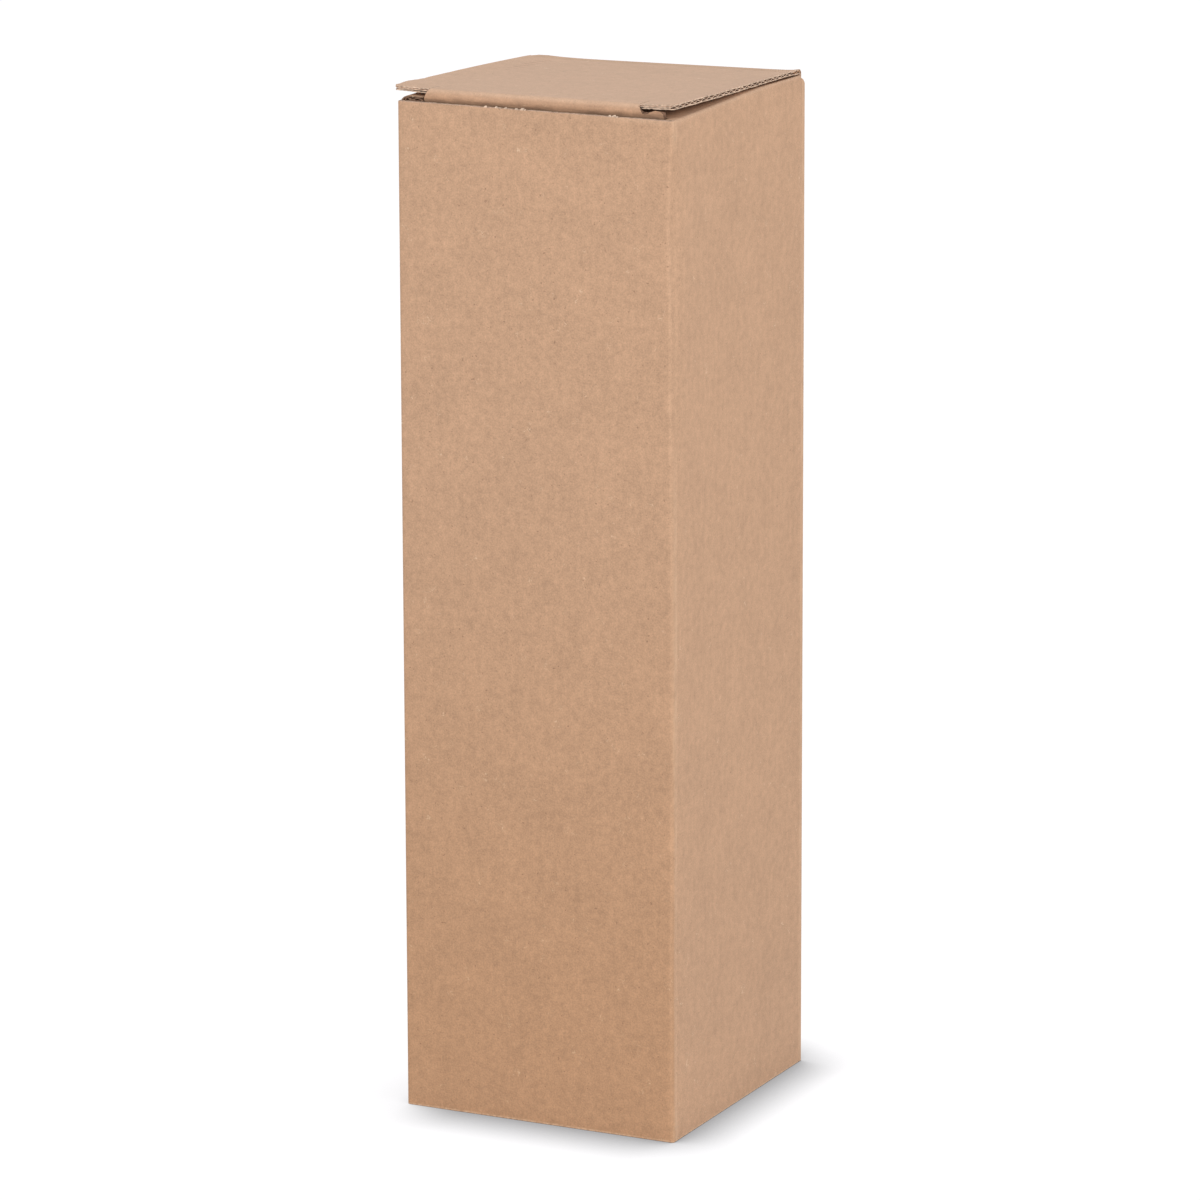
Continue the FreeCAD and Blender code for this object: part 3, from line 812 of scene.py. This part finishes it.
def lid_level(x, y):
    """The height of the lid's upper face."""
    share = ramp(HINGE_Y - y, 0, LID_RUN)
    middle = np.cos(np.clip(x / SAG_HALF_WIDTH, -1, 1) * math.pi / 2)
    level = back_level(x) * (1 - share) + front_level(x) * share
    level -= LID_SAG * np.sin(math.pi * share) * middle
    level += EAR_LIFT * near(np.abs(y - EAR_LIFT_Y), EAR_LIFT_REACH) * fade(x - EAR_LEFT, EAR_LIFT_FADE)
    drop = near(np.abs(x - CREASE_LEFT), BACK_CORNER_WIDE) * near(np.abs(y - HINGE_Y), BACK_CORNER_DEEP)
    level -= BACK_CORNER_DROP * drop
    return CUT + np.minimum(level, LID_TOP)


def lid_line():
    """The outer face of the lid from its crease over the roll to the tuck flap's tip."""
    turn = math.pi / 2 + TUCK_LEAN
    level = TUCK_REACH - ROLL_RADIUS
    return path((0.0, HINGE_INSET), math.pi, (level, 0), (ROLL_RADIUS * turn, turn), (TUCK_DROP, TUCK_BOW))


LID_LINE = lid_line()
LID_FLAT = path((0.0, HINGE_INSET), math.pi, (90.0, 0))


def lid_place(line):
    """A place() on the lid: the rigid line of the CAD lid, lowered to the sheet's own sag."""
    cos, sin = math.cos(LID_PITCH), math.sin(LID_PITCH)

    def place(across, rows):
        points, left = sample(line, rows)
        y = HINGE_Y + points[..., 0] * cos + points[..., 1] * sin
        z = HINGE_Z - points[..., 0] * sin + points[..., 1] * cos
        out = np.stack([0 * rows, -left[..., 0] * cos - left[..., 1] * sin,
                        left[..., 0] * sin - left[..., 1] * cos], -1)
        run = np.clip(rows, 0, LID_RUN)
        z = z + lid_level(across, HINGE_Y - run) - (HINGE_Z + run * sin + HINGE_INSET)
        pressed = PRESSED_BACK - PRESSED_LESS * ramp(rows, 0, PRESSED_RUN)
        pressed = pressed * fade(PRESSED_EDGE - across, PRESSED_REACH)
        if line is LID_FLAT:
            pressed += PRESSED_FRONT * fade(EAR_END - rows, PRESSED_FRONT_REACH) * on_ear(across)
        return np.stack([across, y, z], -1), out, BOARD * (1 - pressed)

    return place


def on_ear(x):
    """Whether a point is beside the slits, on one of the two ears."""
    return (x < SLIT_LEFT) | (x > SLIT_RIGHT)


def lid_sides(rows):
    """The lid's left and right cut edges at distances from the crease."""
    share = ramp(rows, 0, EAR_END)
    bow = np.sin(math.pi * share)
    left = CREASE_LEFT + (EAR_LEFT - CREASE_LEFT) * share - BOW_LEFT * bow
    right = CREASE_RIGHT + (EAR_RIGHT - CREASE_RIGHT) * share + BOW_RIGHT * bow
    corner = rounded(rows - EAR_END + EAR_CORNER, EAR_CORNER)
    return np.maximum(left, EAR_LEFT) + corner, right - corner


def lid_fray(face, seed):
    """Torn, crushed liner along the lid's side edges and the ears' front edges."""
    x, y = face[..., 0], face[..., 1]
    front = near(y - HINGE_Y + EAR_END, FRAY_REACH) * on_ear(x)
    side = near(FRAY_RIGHT - x, FRAY_REACH) + near(x - EAR_LEFT, FRAY_REACH_LEFT)
    inward = FRAY_DRAWN * (1 + ripple(x, y, size=FRAY_DRAWN_SIZE, seed=seed))
    bent = FRAY_BENT * ripple(x, y, size=FRAY_BENT_SIZE, seed=seed + FRAY_BENT_SEED)
    bent = bent * np.clip(front + side, 0, 1)
    return np.stack([-FRAY_SIDE * inward * side * np.sign(x), inward * front, bent], -1)


def ear_filler(mesh, first, last, seed):
    """Crushed pulp that closes the cut between the liners along an ear's front edge."""
    across = spread(first, (last, int((last - first) / FILLER_CELL)))
    rows = np.array([EAR_END - FILLER_START, EAR_END - FILLER_END])
    face, out, thick = lid_place(LID_FLAT)(across + np.zeros((2, 1)), rows[:, None] + 0 * across)
    face[1, :, 1] += FILLER_ROUGH * ripple(across, size=FILLER_SIZE, seed=seed)
    depth = LINER / BOARD - FILLER_OVERLAP
    mesh.skin(below(face, out, thick, depth), below(face, out, thick, 1 - depth), True, (EDGE, EDGE, EDGE))


def lid_panel(mesh):
    """The lid's panel and its two ears."""
    rows = spread(LID_START, (EAR_START, 40))
    left, right = lid_sides(rows)
    columns = between(left, SLIT_LEFT, even(5)[:-1])
    middle = between(SLIT_LEFT, SLIT_RIGHT, even(14)[:-1])
    columns += [np.full(len(rows), value) for value in middle]
    columns += between(SLIT_RIGHT, right, spread(0, (0.85, 4), (0.95, 2), (1, 2)))
    board(mesh, lid_place(LID_FLAT), rows, np.stack(columns, -1), outside=TOP, fray=lid_fray)

    rows = spread(EAR_START, (EAR_END - EAR_CORNER, 8), (EAR_END, 8))
    left, right = lid_sides(rows)
    for inner, outer in ((SLIT_LEFT - SLIT_GAP, left), (SLIT_RIGHT + SLIT_GAP, right)):
        across = np.stack(between(inner, outer, even(24)), -1)
        board(mesh, lid_place(LID_FLAT), rows, across, outside=TOP, fray=lid_fray)
    for first, last, seed in FILLED:
        ear_filler(mesh, first, last, seed)


def lid_tuck(mesh):
    """The rolled front fold between the slits, the shoulder beyond the right slit and the tuck flap."""
    level = LID_LINE[0][2]
    roll = LID_LINE[1][2]
    total = length_of(LID_LINE)
    shoulder = level + roll * SHOULDER_START
    rows = spread(EAR_START, (level, 2), (shoulder, 12), (level + roll, 3), (total - TUCK_CORNER, 6),
                  (total, 8))
    corner = rounded(rows - total + TUCK_CORNER, TUCK_CORNER)
    wide_left = TUCK_LEFT + corner
    wide_right = TUCK_RIGHT - corner
    slant = ramp(rows, level, shoulder - level) ** 1.5
    first = np.maximum(SLIT_LEFT - SLIT_SLANT_LEFT * slant, wide_left)
    last = np.minimum(SLIT_RIGHT + SLIT_SLANT_RIGHT * slant, wide_right)
    main = between(first, last, even(24))
    across = np.stack(main + between(last, wide_right, (0.04, 0.2, 0.4, 0.6, 0.8, 1)), -1)
    keep = np.ones((len(rows) - 1, across.shape[1] - 1), bool)
    beyond = len(main) - 1
    keep[rows[:-1] < shoulder - NEAR_ZERO, beyond:] = False
    keep[(wide_right - last)[1:] < 0.01, beyond:] = False
    straight = lid_place(LID_LINE)

    def place(across, rows):
        arch = np.clip(1 - ((across - SHOULDER_PEAK) / SHOULDER_HALF) ** 2, 0, None)
        arch *= (rows > shoulder - NEAR_ZERO) * (across > SLIT_RIGHT + SLIT_SLANT_RIGHT + 0.05)
        return straight(across, rows - SHOULDER_RISE * arch * (1 - ramp(rows, shoulder, SHOULDER_REACH)))

    board(mesh, place, rows, across, keep, outside=ROLL, edge=SHADED)


def crease_place(across, rows):
    """A place() on the back crease: rows 0 to 1 on the wall, 1 to 2 round the bend, 2 to 3 on the lid."""
    lid_face, _, lid_thick = lid_place(LID_FLAT)(across, np.full(rows.shape, LID_START))
    top = lid_face[..., 2] - CREASE_BELOW
    low = top - CREASE_RADIUS
    centre_y = HALF_DEPTH - CREASE_RADIUS
    turn = ramp(rows, 1, 1) * math.pi / 2
    level = ramp(rows, 2, 1)
    on_back = rows <= 1
    on_lid = rows > 2
    upright = FLAP_ROOT + (low - FLAP_ROOT) * ramp(rows, 0, 1)
    y = np.where(on_back, HALF_DEPTH, centre_y + CREASE_RADIUS * np.cos(turn))
    y = np.where(on_lid, centre_y + (lid_face[..., 1] - centre_y) * level, y)
    z = np.where(on_back, upright, low + CREASE_RADIUS * np.sin(turn))
    z = np.where(on_lid, top + (lid_face[..., 2] - top) * level, z)
    sunk = near(np.abs(across - CREASE_LEFT), CREASE_SINK_REACH) * ramp(rows, 1, 1) * (1 - level)
    z -= CREASE_SINK * sunk
    out = np.stack([0 * y, np.where(on_back, 1.0, np.cos(turn)), np.where(on_back, 0.0, np.sin(turn))], -1)
    crush = np.sin(math.pi * ramp(rows, CREASE_CRUSH_START, CREASE_CRUSH_RUN))
    thick = BOARD * (1 - CREASE_CRUSH * crush)
    thick = np.where(on_lid, thick + (lid_thick - thick) * level, thick)
    return np.stack([across, y, z], -1), out, thick


def crease_sheet(mesh):
    """The bending strip between the back wall and the lid."""
    columns = spread(CREASE_LEFT, (SLIT_LEFT, 5), (SLIT_RIGHT, 14), (CREASE_RIGHT, 5))
    rows = spread(0, (1, 3), (2, 8), (3, 4))
    sheet = crease_place(columns + np.zeros((len(rows), 1)), rows[:, None] + 0 * columns)
    add_liners(mesh, sheet, True, (OUTSIDE, INSIDE, EDGE))

    middle = sheet[0][:, 10]
    length = np.concatenate([[0], np.cumsum(np.linalg.norm(np.diff(middle, axis=0), axis=-1))])
    steps = int(length[-1] / (PITCH / WAVE_STEPS)) + 2
    fine = np.interp(np.linspace(0, length[-1], steps), length, rows)
    columns = columns[::4]
    sheet = crease_place(columns + np.zeros((steps, 1)), fine[:, None] + 0 * columns)
    add_medium(mesh, sheet, np.interp(fine, rows, length), True, (INSIDE, INSIDE, INSIDE))


# Materials

def srgb(red, green, blue):
    """A colour written as a picture shows it, as the linear colour that a shader takes."""
    def linear(value):
        value /= 255
        return value / 12.92 if value <= 0.04045 else ((value + 0.055) / 1.055) ** 2.4
    return (linear(red), linear(green), linear(blue), 1.0)


class Nodes:
    """Short calls for building the nodes of one material or world."""

    def __init__(self, owner):
        owner.use_nodes = True
        self.owner = owner
        self.tree = owner.node_tree
        self.tree.nodes.clear()

    def fill(self, socket, value):
        """Link a socket to another node's output, or set it to a plain value."""
        if isinstance(value, bpy.types.NodeSocket):
            self.tree.links.new(value, socket)
        else:
            socket.default_value = value

    def node(self, kind, inputs=(), **settings):
        made = self.tree.nodes.new(kind)
        for key, value in settings.items():
            setattr(made, key, value)
        for key, value in dict(inputs).items():
            self.fill(made.inputs[key], value)
        return made

    def noise(self, vector, scale, detail, roughness, stretch=None):
        if stretch is not None:
            vector = self.node("ShaderNodeMapping", {"Vector": vector, "Scale": stretch}).outputs[0]
        inputs = {"Vector": vector, "Scale": scale, "Detail": detail, "Roughness": roughness}
        return self.node("ShaderNodeTexNoise", inputs).outputs["Fac"]

    def math(self, operation, first, second=0.0, third=0.0):
        return self.node("ShaderNodeMath", {0: first, 1: second, 2: third}, operation=operation).outputs[0]

    def between(self, value, low, high, start=0.0, end=1.0):
        inputs = {"Value": value, "From Min": low, "From Max": high, "To Min": start, "To Max": end}
        return self.node("ShaderNodeMapRange", inputs, interpolation_type="SMOOTHSTEP").outputs[0]

    def mix(self, share, first, second, blend="MIX"):
        made = self.node("ShaderNodeMix", data_type="RGBA", blend_type=blend)
        self.fill(made.inputs["Factor"], share)
        self.fill(made.inputs[6], first)
        self.fill(made.inputs[7], second)
        return made.outputs[2]

    def vector(self, operation, first, second):
        return self.node("ShaderNodeVectorMath", {0: first, 1: second}, operation=operation).outputs[0]

    def parts(self, place):
        return self.node("ShaderNodeSeparateXYZ", {0: place}).outputs

    def place(self):
        return self.node("ShaderNodeTexCoord").outputs["Object"]


# Layers of unevenness in the pulp, from clouds to single fibres: scale, detail, weight and stretch
GRAIN = (
    (30.0, 2.0, 0.10, None), (110.0, 3.0, 0.20, None), (480.0, 3.0, 0.40, None), (2300.0, 2.0, 0.62, None),
    (900.0, 1.0, 0.10, (1.0, 1.0, 0.07)),
)
PALE_HAIR = (234, 210, 180)
HAIR_SHARE = 0.65
HAIR_WAVE = (0.0018, 0.0018, 0.0018)
DARK_SPECK = (112, 80, 58)
SPECK_SHARE = 0.45


def kraft(name, colour, contrast=1.0, shade=None, tones=()):
    """Unbleached kraft liner: cloudy pulp, crossing fibres, a few pale hairs and dark specks."""
    paint = Nodes(bpy.data.materials.new(name))
    place = paint.place()
    tone = 1.0
    for scale, detail, weight, stretch in GRAIN:
        grain = paint.noise(place, scale, detail, 0.6, stretch)
        weight *= contrast
        tone = paint.math("ADD", paint.math("MULTIPLY_ADD", grain, weight, -weight / 2), tone)
    if shade is not None:
        tone = paint.math("MULTIPLY", tone, shade(paint, place))
    grey = paint.node("ShaderNodeCombineColor", {0: tone, 1: tone, 2: tone}).outputs[0]
    base = paint.mix(1.0, srgb(*colour), grey, "MULTIPLY")
    base = paint.mix(pale_hairs(paint, place), base, srgb(*PALE_HAIR))
    specks = paint.between(paint.noise(place, 1300.0, 1.0, 0.4), 0.74, 0.79)
    base = paint.mix(paint.math("MULTIPLY", specks, SPECK_SHARE), base, srgb(*DARK_SPECK))
    for share, tint, blend in tones:
        base = paint.mix(share(paint, place), base, srgb(*tint), blend)

    relief = paint.math("ADD", paint.noise(place, 2300.0, 2.0, 0.6), paint.noise(place, 480.0, 3.0, 0.6))
    bump = paint.node("ShaderNodeBump", {"Height": relief, "Strength": 0.4, "Distance": 0.00008}).outputs[0]
    inputs = {"Base Color": base, "Roughness": 0.7, "Normal": bump, "Specular IOR Level": 0.5}
    shader = paint.node("ShaderNodeBsdfPrincipled", inputs)
    paint.node("ShaderNodeOutputMaterial", {"Surface": shader.outputs[0]})
    return paint.owner


def pale_hairs(paint, place):
    """A few long pale fibres, lying in patches."""
    warp = paint.node("ShaderNodeTexNoise", {"Vector": place, "Scale": 900.0, "Detail": 1.0})
    shift = paint.vector("MULTIPLY", warp.outputs["Color"], HAIR_WAVE)
    warped = paint.vector("ADD", place, shift)
    ridge = paint.math("ABSOLUTE", paint.math("SUBTRACT", paint.noise(warped, 520.0, 0.0, 0.5), 0.5))
    hair = paint.between(ridge, 0.0, 0.02, 1.0, 0.0)
    patch = paint.between(paint.noise(place, 260.0, 1.0, 0.5), 0.66, 0.70)
    return paint.math("MULTIPLY", paint.math("MULTIPLY", hair, patch), HAIR_SHARE)


def corner_wear_and_highlight(paint, place):
    """How strongly the vertical corners are made pale, as rubbed wear and a painted highlight, and the foot
    as well.
    """
    parts = paint.parts(place)
    side = paint.math("SUBTRACT", paint.math("ABSOLUTE", parts[0]), (HALF_WIDTH - 0.5) * MM)
    front = paint.math("SUBTRACT", paint.math("ABSOLUTE", parts[1]), (HALF_DEPTH - 2.7) * MM)
    # Pale band on the corners: rubbed wear and a painted highlight together.
    wear_highlight_mask = paint.between(paint.math("MINIMUM", side, front), 0.0, 0.4 * MM)
    foot = paint.between(parts[2], 0.2 * MM, 0.8 * MM, 2.4, 0.0)
    wear_highlight_mask = paint.math("MAXIMUM", wear_highlight_mask, foot)
    rough = paint.between(paint.noise(place, 700.0, 2.0, 0.6, (1.0, 1.0, 0.25)), 0.35, 0.65)
    return paint.math("MULTIPLY", wear_highlight_mask, paint.math("MULTIPLY_ADD", rough, 0.3, 0.12))


def lower_front_painted_shade(paint, place):
    """How strongly the front wall is darkened towards its bottom: painted shade for the light that falls
    off.
    """
    parts = paint.parts(place)
    low = paint.between(parts[2], 0.0, 190.0 * MM, 1.0, 0.0)
    front = paint.between(parts[1], (0.8 - HALF_DEPTH) * MM, (1.6 - HALF_DEPTH) * MM, 1.0, 0.0)
    return paint.math("MULTIPLY", low, front)


def pulp_blots(paint, place):
    """Torn, open pulp on the cut edges: brown hollows between the pale fibres."""
    return paint.between(paint.noise(place, 1150.0, 3.0, 0.65), 0.44, 0.60, 1.0, 0.55)


def roll_painted_shade(paint, place):
    """Painted shade on the roll, darker towards the wall's cut edge, with crease streaks where it turns
    down.
    """
    streak = paint.noise(place, 500.0, 3.0, 0.6, (0.35, 1.0, 1.6))
    streak = paint.math("SUBTRACT", streak, 0.5)
    height = paint.math("MULTIPLY_ADD", streak, 2.2 * MM, paint.parts(place)[2])
    low = paint.between(height, (CUT - 0.4) * MM, (CUT + 1.9) * MM, 0.5, 1.0)
    streak = paint.math("MULTIPLY", streak, below_top(paint, place))
    return paint.math("MULTIPLY", low, paint.math("MULTIPLY_ADD", streak, 0.36, 1.0))


def below_top(paint, place):
    """The part of the roll that has turned down from the lid's top."""
    return paint.between(paint.parts(place)[2], (CUT + 2.1) * MM, (CUT + 3.2) * MM, 1.0, 0.0)


def kraft_materials():
    """One material for each slot, in the slots' order."""
    # Painted shade: the front wall darker and warmer towards its bottom.
    front_painted_shade = (lower_front_painted_shade, (247, 239, 228), "MULTIPLY")
    # Partly rubbed wear and partly a painted highlight: the vertical corners and the foot made paler.
    rubbed_and_highlight = (corner_wear_and_highlight, (222, 190, 158), "MIX")
    # Painted shade: the roll darker where it turns down from the lid's top.
    turned_down_painted_shade = (below_top, (236, 229, 222), "MULTIPLY")
    return [
        kraft("kraft_outside", (196, 161, 132), tones=(front_painted_shade, rubbed_and_highlight)),
        kraft("kraft_inside", (190, 153, 122)),
        kraft("kraft_cut_edge", (224, 198, 175), 1.4, pulp_blots),
        kraft("kraft_flutes", (172, 134, 110), 1.2),
        # The lid's top: a lighter copy of the outside liner with less contrast, painted light for the light
        # from above.
        kraft("kraft_top_painted_light", (201, 166, 138), 0.55),
        # The roll: the lid top's colour with painted shade towards the wall's cut edge, and crease streaks.
        kraft("kraft_roll_painted_shade", (201, 166, 138), 0.7, roll_painted_shade, (turned_down_painted_shade,)),
        # A darkened copy of the cut edge: painted shade for the cut edges in shade at the dust flaps'
        # fronts and the roll's sides.
        kraft("kraft_shaded_edge", (122, 94, 74), 1.8),
    ]


# Studio

def seen_rays(paint):
    """1 for rays that show the studio to the eye, reflected or through glass, and 0 for light."""
    light = paint.node("ShaderNodeLightPath")
    seen = paint.math("MAXIMUM", light.outputs["Is Camera Ray"], light.outputs["Is Glossy Ray"])
    return paint.math("MAXIMUM", seen, light.outputs["Is Transmission Ray"])


def studio_floor():
    """A white floor that glows for the eye, with a painted contact shadow from an occlusion node, weak at
    the left and strong to the right.
    """
    floor = Mesh()
    rows = spread(-FLOOR_HALF, (FLOOR_HALF, 2))
    grid = np.stack(np.meshgrid(rows, rows) + [np.zeros((3, 3))], -1)
    floor.skin(grid, grid - np.array([0, 0, FLOOR_THICKNESS]), True, (0, 0, 0))

    paint = Nodes(bpy.data.materials.new("studio_floor"))
    seen = seen_rays(paint)
    x = paint.parts(paint.place())[0]
    reach = paint.between(x, (HALF_WIDTH - 8) * MM, (HALF_WIDTH + 4) * MM, SHADOW_REACH, SHADOW_REACH_RIGHT)
    open_sky = paint.node("ShaderNodeAmbientOcclusion", {"Distance": reach}, samples=16).outputs["AO"]
    depth = paint.between(x, -(HALF_WIDTH + 6) * MM, -(HALF_WIDTH - 18) * MM, SHADOW_LEFT, SHADOW_DEPTH)
    painted_shadow = paint.math("POWER", open_sky, depth)
    colour = paint.mix(seen, srgb(*FLOOR_BOUNCE), srgb(*FLOOR_SEEN))
    shader = paint.node("ShaderNodeBsdfDiffuse", {"Color": colour}).outputs[0]
    glow = {"Color": srgb(*BACKDROP), "Strength": paint.math("MULTIPLY", seen, painted_shadow)}
    glow = paint.node("ShaderNodeEmission", glow).outputs[0]
    both = paint.node("ShaderNodeAddShader", {0: shader, 1: glow}).outputs[0]
    paint.node("ShaderNodeOutputMaterial", {"Surface": both})
    floor.build("studio_floor", [paint.owner])


def studio_world():
    """A soft grey light from all round, seen as white."""
    world = bpy.data.worlds.new("studio")
    bpy.context.scene.world = world
    paint = Nodes(world)
    lit = paint.node("ShaderNodeBackground", {"Color": WORLD_COLOUR, "Strength": WORLD_STRENGTH}).outputs[0]
    shown = paint.node("ShaderNodeBackground", {"Color": srgb(*BACKDROP), "Strength": 1.0}).outputs[0]
    mixed = paint.node("ShaderNodeMixShader", {0: seen_rays(paint), 1: lit, 2: shown}).outputs[0]
    paint.node("ShaderNodeOutputWorld", {"Surface": mixed})


def studio_lamps():
    """Two broad soft lamps, aimed at the middle of the carton."""
    for name, place, power, width in LAMPS:
        lamp = bpy.data.lights.new(name, "AREA")
        lamp.energy = power
        lamp.size = width
        lamp.color = LAMP_COLOUR
        holder = bpy.data.objects.new(name, lamp)
        bpy.context.scene.collection.objects.link(holder)
        holder.location = place
        aim = Vector(LAMP_AIM) - Vector(place)
        holder.rotation_euler = aim.to_track_quat("-Z", "Y").to_euler()


def camera():
    """The camera, where the photograph was taken from."""
    cos_pitch = math.cos(CAMERA_PITCH)
    ahead = Vector((
        -math.sin(CAMERA_YAW) * cos_pitch,
        math.cos(CAMERA_YAW) * cos_pitch,
        -math.sin(CAMERA_PITCH),
    ))
    right = Vector((math.cos(CAMERA_YAW), math.sin(CAMERA_YAW), 0))
    up = right.cross(ahead)
    across = right * math.cos(CAMERA_ROLL) + up * math.sin(CAMERA_ROLL)
    upward = up * math.cos(CAMERA_ROLL) - right * math.sin(CAMERA_ROLL)
    data = bpy.data.cameras.new("camera")
    data.sensor_fit = "HORIZONTAL"
    data.sensor_width = SENSOR
    data.lens = CAMERA_LENS
    data.clip_start = 0.05
    data.clip_end = 60.0
    holder = bpy.data.objects.new("camera", data)
    bpy.context.scene.collection.objects.link(holder)
    turn = Matrix((across, upward, -ahead)).transposed().to_4x4()
    holder.matrix_world = Matrix.Translation(Vector(CAMERA_PLACE) * MM) @ turn
    bpy.context.scene.camera = holder


# Pieces

def carton_piece(materials):
    """Walls, dust flaps and base, which stand still."""
    carton = Mesh()
    carton_walls(carton)
    for spot in TUFTS:
        tuft(carton, *spot)
    dust_flap(carton, "left", NOTCH_LEFT, FOLD_RADIUS_LEFT)
    dust_flap(carton, "right", NOTCH_RIGHT, FOLD_RADIUS_RIGHT)
    front_base(carton)
    side_bases(carton)
    back_base(carton)
    piece = carton.build("carton_sheet", materials)
    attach(piece, "carton")
    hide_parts("carton")


def lid_piece(materials):
    """Panel, ears and tuck flap, which swing with the lid."""
    lid = Mesh()
    lid_panel(lid)
    lid_tuck(lid)
    piece = lid.build("lid_sheet", materials)
    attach(piece, "lid")
    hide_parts("lid")


def crease_piece(materials):
    """The fold between back wall and lid, as it lies with the lid shut."""
    crease = Mesh()
    crease_sheet(crease)
    piece = crease.build("back_crease", materials)
    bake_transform(piece)


def main():
    materials = kraft_materials()
    carton_piece(materials)
    lid_piece(materials)
    crease_piece(materials)
    camera()
    studio_floor()
    studio_world()
    studio_lamps()
    bpy.context.scene.view_settings.view_transform = "Standard"
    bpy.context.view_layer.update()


main()
